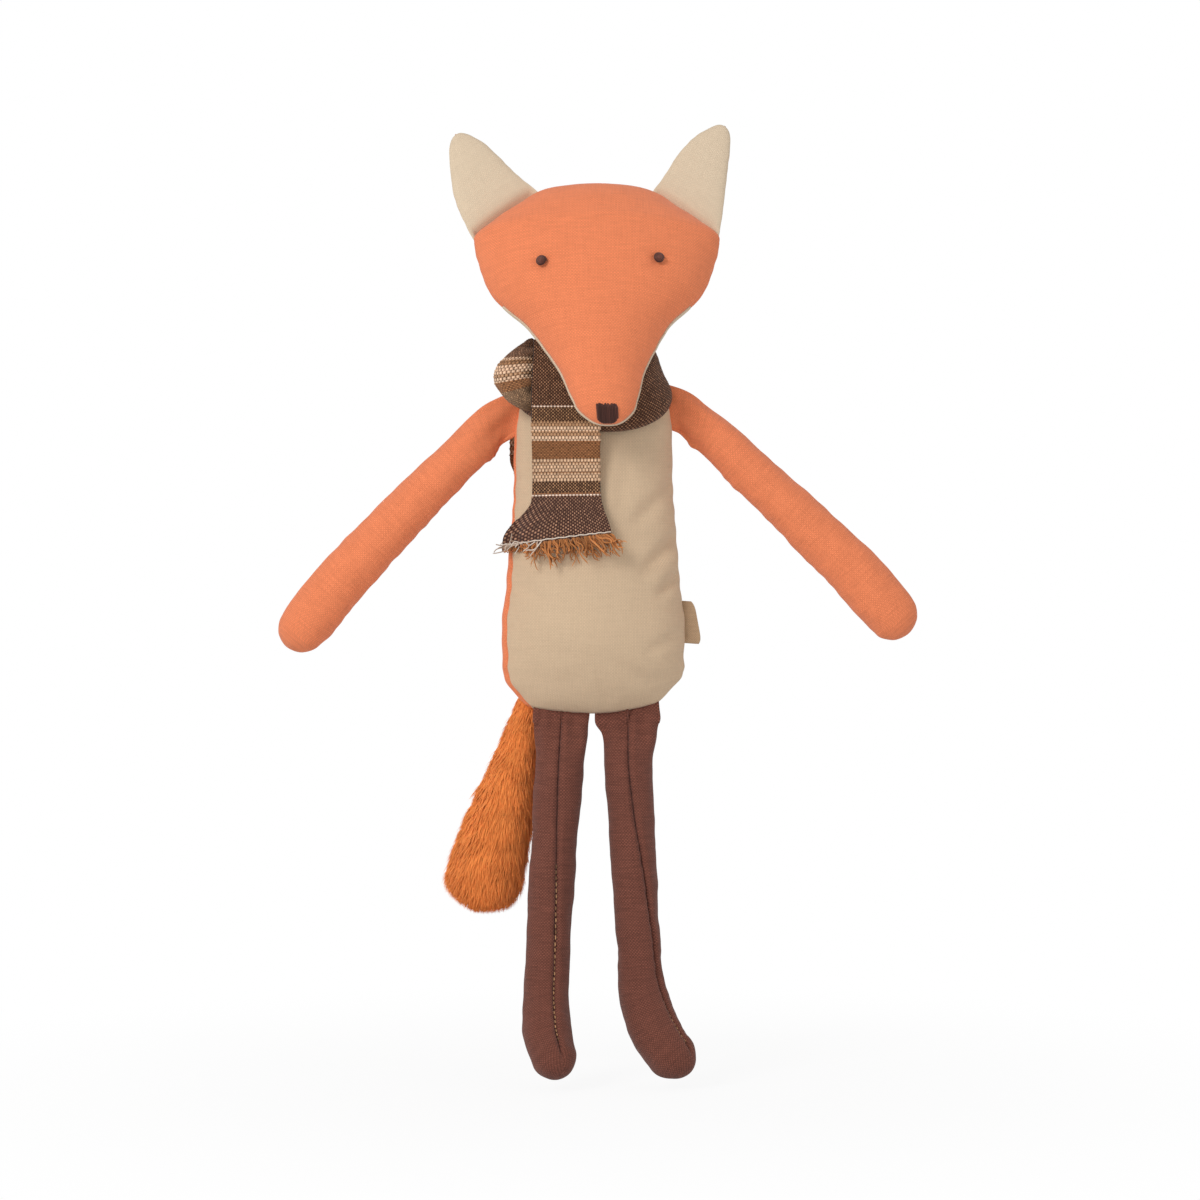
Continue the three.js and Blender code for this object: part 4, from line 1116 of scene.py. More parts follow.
class FOX_OT_ears(bpy.types.Operator):
    """Sew the ears: cream fronts, orange backs and rounded tips"""

    bl_idname = "fox.ears"
    bl_label = "Ears"

    def execute(self, context):
        colours, sizes = context.scene.fox_colours, context.scene.fox_sizes
        pitch = sizes.linen_pitch
        cream = linen("pale plain-woven linen", colours.ears, (1.03, 0.97), pitch, 0.4)
        orange = linen("orange plain-woven linen of the ears", colours.face, (0.97, 1.06), pitch, 0.8)
        along = rounded_places(0, EAR_ROWS)
        for name, side, bend, shape in EARS:
            form = ear_form(side, *shape)
            halves = (
                ("front", np.linspace(0, math.pi, EAR_COLUMNS), bend, cream, "cream_linen"),
                ("back", np.linspace(math.pi, TURN, EAR_COLUMNS), 0.2 - bend, orange, "orange_linen"),
            )
            for half, angles, dent, cloth, slot in halves:
                relief = ear_relief(side, dent)
                thickness = EAR_LINEN_SHARE * sizes.linen
                piece = panel_piece(
                    f"ear_{name}_{half}_linen", form, along, angles, relief, thickness, seam=0.3
                )
                finish_cloth(piece, cloth)
                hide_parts(f"ear_{name}_{half}_panel")
                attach(piece, "head")
        return {"FINISHED"}


# The arms: (name, side, reach and drop of the hand, reach and drop of the bend, slimness, shift).
ARMS = (("left", 1, 92.5, 82.5, 29.5, 15, 0.12, -1.8), ("right", -1, 89, 87.5, 27.7, 17.5, 0.06, 1.3))


def arm_form(side, reach, drop, bend_reach, bend_drop, slim, shift):
    """An arm that hangs from its side seam. Near the trunk its section stands upright, as it is sewn."""
    root = np.array([side * ARM_ROOT, 0, ARM_LEVEL])
    bend = root + (side * bend_reach, 0, -bend_drop)
    points = bezier_line((root, bend, root + (side * reach, 0, -drop)))
    share = np.linspace(0, 1, len(points))
    points[:, 0] += shift * smooth_step(0.2, 0.6, share) - side * 1.7 * smooth_step(0.8, 1, share)
    points[:, 0] -= side * 2.2 * (1 - smooth_step(0, 0.1, share))
    points[:, 2] += (1.2 if side > 0 else 0.4) * hump(share, 0.2, 0.13)
    points[:, 2] += (2.4 if side > 0 else 0) * (1 - smooth_step(0, 0.16, share))
    shares = [
        (s, wide * (1 - slim + 2.2 * slim * s) if 0.1 < s < 1 else wide, deep)
        for s, wide, deep in ARM_SHARES
    ]

    def ways(tangent, share):
        level = np.cross(tangent, FORWARD) * -side
        turned = smooth_step(0, 0.2, share)[:, None]
        slanted = UP - 0.3 * side * RIGHT
        return unit(slanted * (1 - turned) + level * turned), everywhere(FORWARD, share)

    return SewnForm(shares, ARM_THICKNESS, ARM_THICKNESS, curve_line(points, ARM_TUCK, ways))


class FOX_OT_arms(bpy.types.Operator):
    """Sew the arms: orange sleeves that are gathered flat where they enter the side seams"""

    bl_idname = "fox.arms"
    bl_label = "Arms"

    def execute(self, context):
        colours, sizes = context.scene.fox_colours, context.scene.fox_sizes
        pitch = sizes.linen_pitch
        orange = linen("orange plain-woven linen of the arms", colours.face, (0.96, 1.08), pitch, 1.0)
        along = limb_places(-0.03, 0.8, *ARM_ROWS)
        for name, side, *shape in ARMS:
            form = arm_form(side, *shape)

            def relief(points, distance, places, side=side):
                turn = np.linspace(0, TURN, points.shape[1])[None, :]
                gathers = 0.4 * np.cos(6 * turn + side) * hump(places, 12, 9)
                lumps = 0.75 * soft_noise(points, 17, 8.0 * side) + 0.3 * soft_noise(points, 6, 3.0)
                return (gathers + lumps + puckers(distance, places, 0.25, 7.0, side)) * calm_tip(places)

            piece = sleeve_piece(f"arm_{name}_linen", form, along, ARM_COLUMNS, relief, sizes.linen)
            finish_cloth(piece, orange)
            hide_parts(f"arm_{name}_sleeve", f"arm_{name}_stuffing")
            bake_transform(piece)
        return {"FINISHED"}


# The legs: (name, side, turn of the toes, share of the leg's length where its front stitches show).
LEGS = (("left", 1, math.radians(55), 0.79), ("right", -1, math.radians(22), 0.42))

# The front stitches as shares of a leg's length: where the last one starts, from one to the next, and one.
STITCH_LAST_SHARE, STITCH_STEP_SHARE, STITCH_SHARE = 0.93, 0.0155, 0.0115

# How far the foot has come forward at each share of a leg's length, as a share of its reach.
FOOT_SHARES = ((0, 0), (0.3, 0), (0.6, 0), (0.76, 0.06), (0.88, 0.45), (0.965, 1))
FOOT_REACH = 20
LEG_SPLAY = math.sin(math.radians(3.2))


def leg_form(side, toe_turn):
    """A leg that hangs from the trunk's lower seam and turns its foot out."""
    hip = np.array([side * HIP_ASIDE, 0, HIP_LEVEL])
    toe_way = np.array([math.sin(toe_turn), -math.cos(toe_turn), 0])
    points = []
    for share, ahead in FOOT_SHARES:
        down = np.array([side * LEG_SPLAY * LEG_LENGTH * share, 0, -LEG_LENGTH * share])
        points.append(hip + down + toe_way * FOOT_REACH * ahead)

    def ways(tangent, share):
        turn = toe_turn * smooth_step(0.1, 0.75, share)
        sideways = np.stack([np.cos(turn), np.sin(turn), 0 * turn], axis=1)
        depth_way = unit(sideways - tangent * np.sum(sideways * tangent, axis=1, keepdims=True))
        return unit(np.cross(tangent, depth_way)), depth_way

    line = line_through(points)
    share = np.linspace(0, 1, len(line))
    line[:, 0] -= 1.1 * hump(share, 0.84, 0.13)
    line[:, 0] += 0.8 * (side > 0) * (1 - smooth_step(0, 0.12, share))
    foot, root = (1.0, 1.0) if side < 0 else (1.07, 1.16)
    shares = [
        (s, wide, deep * (foot if 0.7 < s < 0.97 else root if s < 0.06 else 1))
        for s, wide, deep in LEG_SHARES
    ]
    return SewnForm(shares, LEG_THICKNESS, LEG_THICKNESS, curve_line(line, LEG_TUCK, ways))


class FOX_OT_legs(bpy.types.Operator):
    """Sew the legs: brown linen with a stitched seam down the front, flat where they enter the trunk"""

    bl_idname = "fox.legs"
    bl_label = "Legs"

    def execute(self, context):
        colours, sizes = context.scene.fox_colours, context.scene.fox_sizes
        pitch = sizes.linen_pitch
        brown = linen("brown plain-woven linen", colours.legs, (0.8, 1.32), pitch, 1.9)
        pale = shaded(linear_rgb("#bf9068"))
        thread = spun_thread("brown cotton sewing thread", shaded(colours.legs, 0.3), pale)
        along = limb_places(-0.02, 0.86, *LEG_ROWS)
        for name, side, toe_turn, first in LEGS:
            form = leg_form(side, toe_turn)

            def relief(points, distance, places, side=side):
                lumps = 0.75 * soft_noise(points, 16, 4.0 * side) + 0.34 * soft_noise(points, 6, 6.0)
                ruffles = 0.6 * np.sin(points[..., 0] * 0.9 + side) * hump(places, 10, 8)
                pulled = puckers(distance, places, 0.35, 5.2, 2 * side)
                return (lumps + ruffles + pulled) * calm_tip(places)

            halves = ("outer", "inner") if side > 0 else ("inner", "outer")
            for half, start in zip(halves, (0, math.pi)):
                angles = seam_to_seam(start, start + math.pi, LEG_COLUMNS, 0.85)
                piece = panel_piece(
                    f"leg_{name}_{half}_linen", form, along, angles, relief, sizes.linen, seam=1.3, tip=8
                )
                finish_cloth(piece, brown)
                stuffing = [f"leg_{name}_stuffing"] if half == "outer" else []
                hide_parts(f"leg_{name}_{half}_panel", *stuffing)
                self.hang(piece, name, side)
            stitches = self.front_stitches(name, form, thread, first)
            self.hang(stitches, name, side)
        return {"FINISHED"}

    def hang(self, piece, name, side):
        """Bakes the piece's placing into its mesh."""
        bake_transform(piece)

    def front_stitches(self, name, form, thread, first):
        """Short stitches that show in the lower part of the front seam's groove."""
        pick = np.random.default_rng(11)
        starts = np.arange(first, STITCH_LAST_SHARE, STITCH_STEP_SHARE)
        paths = []
        for start in starts:
            along = start + np.linspace(0, STITCH_SHARE, 6)
            row = form.surface(along, np.array([0.0]))[:, 0]
            inward = unit(form.line(along)[0] - row)
            sag = 1.0 + 0.5 * np.abs(np.linspace(-1, 1, 6)) ** 2
            paths.append(row + inward * sag[:, None] + pick.uniform(-0.12, 0.12, 3))
        radii = np.tile(np.array([0.16, 0.24, LEG_THREAD, LEG_THREAD, 0.24, 0.16]), (len(paths), 1))
        tones = smooth_step(first - 0.1, first + 0.1, starts) + pick.normal(-0.2, 0.25, len(paths))
        piece = thread_mesh(f"leg_{name}_stitches", np.array(paths), radii, 5, np.clip(tones, 0, 1))
        return finish_cloth(piece, thread)


def tail_form(reach=1.0):
    """The tail as a form. A reach below one ends it short of the tip, which leaves room for the hairs."""
    level = TRUNK_BOTTOM + TAIL_RISE
    back = float(trunk_front(np.array([TAIL_ASIDE]), np.array([level]))[0])
    root = np.array([-TAIL_ASIDE, back, level])
    bend = root + (-0.32 * TAIL_SWAY, TAIL_BACK, -TAIL_DROP / 3)
    points = bezier_line((root, bend, root + (-TAIL_SWAY, TAIL_BACK, -TAIL_DROP)))
    points[:, 0] += 0.7 * smooth_step(0.3, 1, np.linspace(0, 1, len(points)))
    points = points[: round(reach * len(points))]

    def ways(tangent, share):
        return unit(np.cross(tangent, FORWARD)), everywhere(FORWARD, share)

    return SewnForm(TAIL_SHARES, TAIL_THICKNESS, TAIL_THICKNESS, curve_line(points, TAIL_TUCK, ways))


# A hair's four points: places along it, steps from one to the next, and radii.
HAIR_PLACE_SHARES, HAIR_STEP_SHARES = (0, 0.3, 0.65, 1.0), (0, 0.3, 0.35, 0.35)
HAIR_RADII = (0.3, 0.3, 0.2, 0.03)


def skin_depth(sizes, places):
    """How deep the tail's skin lies under the outline of its pile, at places along the tail."""
    return sizes.pile / MM * 0.36 * smooth_step(4, 22, places)


class FOX_OT_tail(bpy.types.Operator):
    """Sew the tail's skin and give it its pile: thousands of tapered hairs that lie down its length"""

    bl_idname = "fox.tail"
    bl_label = "Tail"

    def execute(self, context):
        colours, sizes = context.scene.fox_colours, context.scene.fox_sizes
        form, inner_form = tail_form(), tail_form(0.95)
        pitch = sizes.linen_pitch
        backing = linen("knitted backing of the fur", colours.fur, (0.7, 0.8), pitch, 1.0)
        along = limb_places(-0.03, 0.8, *TAIL_ROWS)

        def relief(points, distance, places):
            tip = smooth_step(inner_form.length, 0.88 * inner_form.length, places)
            return (0.4 * soft_noise(points, 10, 1.0) - skin_depth(sizes, places)) * tip

        skin = sleeve_piece("tail_skin", inner_form, along, TAIL_COLUMNS, relief, sizes.linen)
        finish_cloth(skin, backing)
        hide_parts("tail_fur_sleeve", "tail_stuffing")
        fur = spun_thread(
            "short-pile fur", shaded(colours.fur, 0.84), shaded(colours.fur, 1.16), 0.2, roughness=0.7
        )
        pieces = [skin]
        for index in (0, 1):
            hairs = self.hairs(form, sizes, index)
            pieces.append(finish_cloth(hairs, fur, smooth=False))
        for piece in pieces:
            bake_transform(piece)
        return {"FINISHED"}

    def hairs(self, form, sizes, index):
        """Hairs that leave the skin, bend towards the tail's tip and gather in loose tufts."""
        pick = np.random.default_rng(21 + index)
        count = sizes.hairs
        along = pick.uniform(0.0, 1.0, count) ** 0.8
        closing = smooth_step(0.84, 1.0, along)
        place = along * (0.965 - 0.005 * closing)
        angle = pick.uniform(0, TURN, count)
        middle, width_way, depth_way = form.line(place)
        width, depth = form.halves(along)
        outward = np.cos(angle)[:, None] * width_way + np.sin(angle)[:, None] * depth_way
        skin = skin_depth(sizes, place * form.length)
        inner_width = np.maximum(width - skin, 0.2)
        inner_depth = np.maximum(depth - skin, 0.2)
        root = (
            middle
            + (inner_width * np.cos(angle))[:, None] * width_way
            + (inner_depth * np.sin(angle))[:, None] * depth_way
        )
        down = unit(form.line(place + 0.01)[0] - form.line(place)[0])
        tuft = np.stack([soft_noise(root, 6.5, 3.0 + k) for k in range(3)], axis=1)
        lean = unit(outward * 0.15 + down + tuft * 0.4 * (1 - 0.85 * closing)[:, None])
        start = unit(outward + down * 0.7 + pick.normal(0, 0.15, (count, 3)))
        end = unit(lean + pick.normal(0, 0.12, (count, 3)) + np.array([0, 0, -0.12]))
        grown = (0.5 + 0.5 * smooth_step(0.0, 0.3, along)) * (1 - 0.4 * closing)
        length = sizes.pile / MM * pick.uniform(0.75, 1.1, count) * grown
        bend = np.array(HAIR_PLACE_SHARES)[None, :, None] ** 0.8
        ways = start[:, None] * (1 - bend) + end[:, None] * bend
        steps = np.cumsum(unit(ways) * (length[:, None] * np.array(HAIR_STEP_SHARES))[..., None], axis=1)
        paths = root[:, None] + steps
        radii = np.array(HAIR_RADII)[None, :] * pick.uniform(0.8, 1.25, (count, 1))
        tones = np.clip(0.5 + 0.35 * tuft[:, 0] + pick.normal(0, 0.22, count), 0, 1)
        return thread_mesh(f"tail_fur_{index + 1}", paths, radii, 3, tones, outward)


# Scarf


def wrap_surface(turn, around):
    """The scarf's loop round the neck: a flat rope of folded cloth that leans in at the shoulders."""
    turn, around = turn[:, None], around[None, :]
    outward = np.stack([np.cos(turn), np.sin(turn), 0 * turn], axis=-1)
    rise = np.where(np.sin(turn) > 0, 3, 9.3) * np.sin(turn)
    back = WRAP_DEPTH / 2 * np.sin(turn) - WRAP_FORWARD
    middle = np.stack([WRAP_WIDTH / 2 * np.cos(turn), back, WRAP_LEVEL + rise], axis=-1)
    lean = math.radians(22) * np.abs(np.cos(turn))[..., None]
    across_way = UP * np.cos(lean) - outward * np.sin(lean)
    deep_way = outward * np.cos(lean) + UP * np.sin(lean)
    height = np.sign(np.sin(around)) * np.abs(np.sin(around)) ** 0.8
    across = (WRAP_HEIGHT / 2 * np.cos(around))[..., None]
    deep = (WRAP_THICKNESS / 2 * height)[..., None]
    fuller = 1.4 * np.maximum(0, np.cos(turn)) * np.maximum(0, np.sin(around)) + 0 * around
    front_left = np.maximum(0, np.cos(turn)) * np.maximum(0, -np.sin(turn))
    sag = 3.2 * front_left * smooth_step(0.2, -1, np.cos(around))
    points = middle + across_way * across + deep_way * (deep + fuller[..., None]) - UP * sag[..., None]
    return points, middle[:, 0]


def front_strip_y(x, z):
    """How far forward the front end lies: on the wrap at its top, on the belly below."""
    on_belly = trunk_front(x, z) + CLOTH_GAP
    on_wrap = WRAP_DEPTH / 2 + WRAP_FORWARD + WRAP_THICKNESS / 2 + CLOTH_GAP
    share = smooth_step(22.2, 46.2, z)
    fold = 0.7 * (1 + np.sin(x / FRONT_WIDTH * 3 * math.pi)) * (1 - share)
    return -((on_belly + fold) * (1 - share) + on_wrap * share)


def front_strip(u, v):
    """The front end of the scarf: u runs across it and v from its top to its hem.
    Its far corner curls back."""
    z = FRONT_TOP + (FRONT_HEM - FRONT_TOP) * v
    z = z - 3.0 * smooth_step(0.75, 1, v) * (1 - u) ** 1.5 + 1.6 * smooth_step(0.8, 1, v) * (u - 0.5)
    flare = smooth_step(0.7, 1.0, v) ** 1.6
    corner = smooth_step(0.8, 0.95, v) * (1 - u) ** 3
    x = FRONT_EDGE + FRONT_WIDTH * u + (-3.0 * (1 - u) + 4.4 * u) * flare - 8.5 * corner
    x = x + smooth_step(0.3, 0, v) * 0.8 * (1 - u)
    y = front_strip_y(np.maximum(x, -28), z)
    ridge = hump(u, 0.3, 0.1) - 0.7 * hump(u, 0.13, 0.07)
    lift = smooth_step(0.78, 1, v) * (1.6 + 2.2 * ridge)
    lift = lift + 1.4 * smooth_step(0.4, 1, u) * smooth_step(0.3, 0.6, v)
    ripple = 0.5 * np.sin(TURN * (1.3 * u + 0.2)) * smooth_step(0.35, 0.9, v)
    top = 2.6 * smooth_step(0.14, 0.0, v)
    curl = 7.0 * smooth_step(0.78, 0.95, v) * smooth_step(0.16, 0.0, u)
    return np.stack([x, y - lift - ripple + top + curl, z], axis=-1)


def back_strip(u, v):
    """The back end of the scarf, which hangs down the toy's back behind an arm."""
    z = BACK_TOP + (BACK_HEM - BACK_TOP) * v
    x = BACK_MIDDLE + (u - 0.5) * BACK_WIDTH + 2.6 * smooth_step(0.46, 0.6, v)
    touching = trunk_front(np.full_like(z, 8.0), z) + CLOTH_GAP
    fold = 1.4 * (1 + np.cos(TURN * (u + 0.06 * np.sin(5 * v))))
    y = touching + fold / 2 + 1.6 - 1.5 * smooth_step(0.12, 0, v)
    return np.stack([x, y, z], axis=-1)


def knot_surface(along, around):
    """The knot: a puffed fold of cloth that ends in a crease beside the front end of the scarf."""
    along, around = along[:, None], around[None, :]
    shares = np.array(KNOT_SHARES)
    wide = np.sqrt(smooth_values(shares[:, 0], shares[:, 1] ** 2, along))
    half = 0.8 + 7.0 * wide
    centre = KNOT_SIDE - half
    crease_side = smooth_step(-1, 1, np.cos(around))
    x = centre + half * np.cos(around)
    bulge = np.sign(np.sin(around)) * np.abs(np.sin(around)) ** 0.7
    y = KNOT_FRONT + along * KNOT_LEAN - (0.5 + 6.6 * wide) * bulge
    z = KNOT_LEVEL + (along - 0.5) * KNOT_HEIGHT * (1 - 0.16 * crease_side) + 1.3 * crease_side
    pleats = 1.1 * np.sin(along * 4 * TURN + 0.6) * crease_side**3
    points = np.stack([x, y - pleats, z + 0 * around], axis=-1)
    level = KNOT_LEVEL + (along - 0.5) * KNOT_HEIGHT
    return points, np.concatenate([centre, KNOT_FRONT + KNOT_LEAN * along, level], axis=1)


def whole_repeats(length, pitch):
    """The nearest length that holds whole repeats of the double yarns, so that a tube's ends meet."""
    repeat = 4 * pitch / MM
    return round(length / repeat) * repeat


def woven_piece(name, points, across, down, middle, sizes, ring=False):
    """Woven cloth with its yarns as real relief. With a middle line it is a tube, and a ring closes it."""
    relief = weave_relief(across, down, sizes.yarn_pitch / MM, sizes.row_pitch / MM)
    if middle is None:
        normal = unit(np.cross(np.gradient(points, axis=1), np.gradient(points, axis=0)))
    else:
        normal = outward_normals(points, middle)
    points = points + normal * relief[..., None]
    if middle is not None:
        points[:, -1] = points[:, 0]
    if ring:
        points[-1] = points[0]
    return cloth_grid(name, points, across, down, middle)


class FOX_OT_scarf(bpy.types.Operator):
    """Weave the scarf: its loop round the neck, the knot and the two ends"""

    bl_idname = "fox.scarf"
    bl_label = "Scarf"

    def execute(self, context):
        sizes = context.scene.fox_sizes
        wool = woven_wool("striped plain-woven wool", sizes.yarn_pitch, sizes.row_pitch)
        self.loop(sizes, wool)
        self.knot(sizes, wool)
        self.front_end(sizes, wool)
        self.back_end(sizes, wool)
        return {"FINISHED"}

    def loop(self, sizes, wool):
        """The loop round the neck, with soft folds along it."""
        around, turn = (np.linspace(0, TURN, count) for count in LOOP_GRID)
        turn = turn + math.pi
        points, middle = wrap_surface(turn, around)
        lengths = np.cumsum(np.linalg.norm(np.diff(points, axis=0, prepend=points[:1]), axis=2), axis=0)
        down = np.tile(lengths.mean(axis=1)[:, None], (1, len(around)))
        across, _ = cloth_lengths(points)
        loops = TURN * np.linspace(0, 1, len(turn))[:, None]
        folds = 0.9 * np.sin(3 * around[None, :] + 0.9 * np.sin(2 * loops)) * np.abs(np.sin(around))[None, :]
        points = points + outward_normals(points, middle) * folds[..., None]
        rows = whole_repeats(down.max(), sizes.row_pitch)
        columns = whole_repeats(across.mean(axis=0).max(), sizes.yarn_pitch)
        down = down / down.max() * rows
        across = across / across[:, -1:] * columns
        first = LOOP_START_ROW * sizes.row_pitch / MM
        piece = woven_piece("scarf_loop", points, across, down + first, middle, sizes, ring=True)
        sew_edges(piece)
        finish_cloth(piece, wool)
        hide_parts("scarf_neck_wrap")
        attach(piece, "trunk")

    def knot(self, sizes, wool):
        """The knot beside the front end."""
        around, along = np.linspace(0, TURN, KNOT_GRID[0]), np.linspace(0, 1, KNOT_GRID[1])
        points, middle = knot_surface(along, around)
        across, _ = cloth_lengths(points)
        columns = whole_repeats(across.mean(axis=0).max(), sizes.yarn_pitch)
        across = np.tile(np.linspace(0, columns, len(around)), (len(along), 1))
        down = KNOT_START + along[:, None] * KNOT_HEIGHT + 0 * across
        piece = woven_piece("scarf_knot_cloth", points, across, down, middle, sizes)
        sew_edges(piece)
        finish_cloth(piece, wool)
        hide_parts("scarf_knot")
        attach(piece, "trunk")

    def front_end(self, sizes, wool):
        """The end that hangs over the belly."""
        u, v = np.meshgrid(*(np.linspace(0, 1, count) for count in FRONT_GRID))
        across = u * FRONT_YARNS * sizes.yarn_pitch / MM
        down = (1 - v) * FRONT_ROWS * sizes.row_pitch / MM
        piece = woven_piece("scarf_front_cloth", front_strip(u, v), across, down, None, sizes)
        self.finish_end(piece, wool, forward=-1)
        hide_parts("scarf_front_upper", "scarf_front_end")
        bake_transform(piece)

    def back_end(self, sizes, wool):
        """The end that hangs down the back."""
        u, v = np.meshgrid(*(np.linspace(0, 1, count) for count in BACK_GRID))
        across = u * BACK_YARNS * sizes.yarn_pitch / MM
        down = (1 - v) * BACK_ROWS * sizes.row_pitch / MM
        piece = woven_piece("scarf_back_cloth", back_strip(u, v), across, down, None, sizes)
        self.finish_end(piece, wool, forward=1)
        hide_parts("scarf_back_end")
        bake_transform(piece)

    def finish_end(self, piece, wool, forward):
        """Turns the sheet's faces to the side that shows and makes it cloth."""
        total = sum(polygon.normal.y * polygon.area for polygon in piece.data.polygons)
        if total * forward < 0:
            piece.data.flip_normals()
        give_thickness(piece, WOOL_THICKNESS * MM)
        finish_cloth(piece, wool)


class FOX_OT_fringes(bpy.types.Operator):
    """Leave the yarn ends loose below both hems, with a pale thread along the front one"""

    bl_idname = "fox.fringes"
    bl_label = "Fringes"

    def execute(self, context):
        colours, sizes = context.scene.fox_colours, context.scene.fox_sizes
        yarn = spun_thread("loose wool yarn", shaded(colours.fringe, 0.6), shaded(colours.fringe, 1.5), 0.25)
        dark_end, light_end = shaded(linear_rgb("#b79f8c")), shaded(linear_rgb("#e9dccd"))
        pale = spun_thread("pale cotton thread", dark_end, light_end)
        front = self.fringe("scarf_front_yarns", front_strip, sizes, np.array([0.25, -0.25, -1.0]), 1, 0.7)
        finish_cloth(front, yarn)
        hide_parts("scarf_front_fringe")
        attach(front, "scarf_front")
        back = self.fringe("scarf_back_yarns", back_strip, sizes, np.array([0.05, 0.1, -1.0]), 2, 0.0)
        finish_cloth(back, yarn)
        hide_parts("scarf_back_fringe")
        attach(back, "scarf_back")
        hem = finish_cloth(self.hem_thread(), pale)
        strays = finish_cloth(self.strays(), pale)
        for piece in (hem, strays):
            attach(piece, "scarf_front")
        return {"FINISHED"}

    def fringe(self, name, strip, sizes, way, seed, worn):
        """Yarn ends of uneven length that wave and cross a little, shorter at a worn far corner."""
        pick = np.random.default_rng(seed)
        count, steps = sizes.yarn_ends, 12
        u = np.clip(np.linspace(0.01, 0.99, count) + pick.normal(0, 0.006, count), 0.005, 0.995)
        start = strip(u, np.full(count, 0.985)) + np.array([0, 0.35, 0]) * pick.choice([-1, 1], (count, 1))
        length = sizes.fringe / MM * pick.uniform(0.6, 1.2, count) * (1 - worn * smooth_step(0.26, 0.1, u))
        t = np.linspace(0, 1, steps)
        phase = pick.uniform(0, TURN, (count, 3, 1))
        wave = 1.15 * np.sin(t * pick.uniform(4, 10, (count, 3, 1)) + phase) * t
        sway = pick.normal(0, 0.26, (count, 3)) + way
        sway[:, 0] += 0.8 * smooth_step(0.5, 1.0, u)
        paths = start[:, None] + unit(sway)[:, None] * (length[:, None] * t)[..., None]
        paths = paths + np.transpose(wave, (0, 2, 1))
        radii = np.tile(LOOSE_YARN * (1 - 0.45 * t**3), (count, 1)) * pick.uniform(0.7, 1.2, (count, 1))
        return thread_mesh(name, paths, radii, 5, pick.uniform(0, 1, count))

    def hem_thread(self):
        """A pale thread that is caught along the hem."""
        u = np.linspace(0, 1, 120)
        row = front_strip(u, np.full(len(u), 0.977))
        row[:, 1] -= 0.55 + 0.25 * np.sin(u * 95)
        row[:, 2] += 0.12 * np.sin(u * 60)
        radii = np.full((1, len(u)), HEM_THREAD)
        return thread_mesh("scarf_front_hem_thread", row[None], radii, 6, np.array([0.8]))

    def strays(self):
        """Loose ends and small loops that stick out at the curled corner."""
        pick = np.random.default_rng(8)
        count = 17
        start = front_strip(pick.uniform(0.0, 0.3, count), np.full(count, 0.982))
        way = unit(np.array([-1.0, -0.25, -0.25]) + pick.normal(0, 0.4, (count, 3)))
        t = np.linspace(0, 1, 20)
        length = pick.uniform(3.0, 7.5, count)
        turns = pick.uniform(2, 6.5, (count, 3, 1))
        curl = 1.3 * np.sin(t * turns + pick.uniform(0, TURN, (count, 3, 1))) * t
        paths = start[:, None] + way[:, None] * (length[:, None] * t)[..., None]
        radii = np.tile(STRAY_THREAD * (1 - 0.4 * t), (count, 1))
        paths = paths + np.transpose(curl, (0, 2, 1))
        return thread_mesh("scarf_front_stray_threads", paths, radii, 5, pick.uniform(0, 1, count))


class FOX_OT_label(bpy.types.Operator):
    """Fold a bare tape into the side seam"""

    bl_idname = "fox.label"
    bl_label = "Side label"

    def execute(self, context):
        colours = context.scene.fox_colours
        tape = linen("bare woven cotton tape", colours.label, (0.92, 1.1), TAPE_PITCH * MM, 0.8)
        low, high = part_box("side_label")
        inner, outer = low.x / MM - 2.5, high.x / MM - 0.9
        turn = np.linspace(-1, 1, TAPE_GRID[0])[None, :]
        share = np.linspace(0, 1, TAPE_GRID[1])[:, None]
        rounded = 1 - 0.14 * np.abs(2 * share - 1) ** 6
        reach = np.minimum(1, (1 - np.abs(turn)) * 1.12) ** 0.9 * rounded
        out = smooth_step(0, 1, reach)
        x = inner + (outer - inner) * reach + (1.3 - 3.0 * share) * out
        side = np.sign(turn) * np.minimum(1, np.abs(turn) * 9) ** 0.5 * (0.55 + 0.25 * np.abs(turn))
        y = side + (0.6 * np.sin(share * 4 + 0.6) - 0.6 * share) * out
        z = low.z / MM + (high.z - low.z) / MM * share + (-0.5 + 0.2 * share) * out
        points = np.stack([x, y, z + 0 * x], axis=-1)
        across, down = cloth_lengths(points)
        level = np.linspace(low.z / MM, high.z / MM, TAPE_GRID[1])
        middle = np.stack([0 * level + (inner + outer) / 2, 0 * level, level], axis=-1)
        piece = cloth_grid("side_label_tape", points, across, down, middle)
        give_thickness(piece, TAPE_THICKNESS * MM)
        finish_cloth(piece, tape)
        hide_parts("side_label")
        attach(piece, "trunk")
        return {"FINISHED"}


# Stage


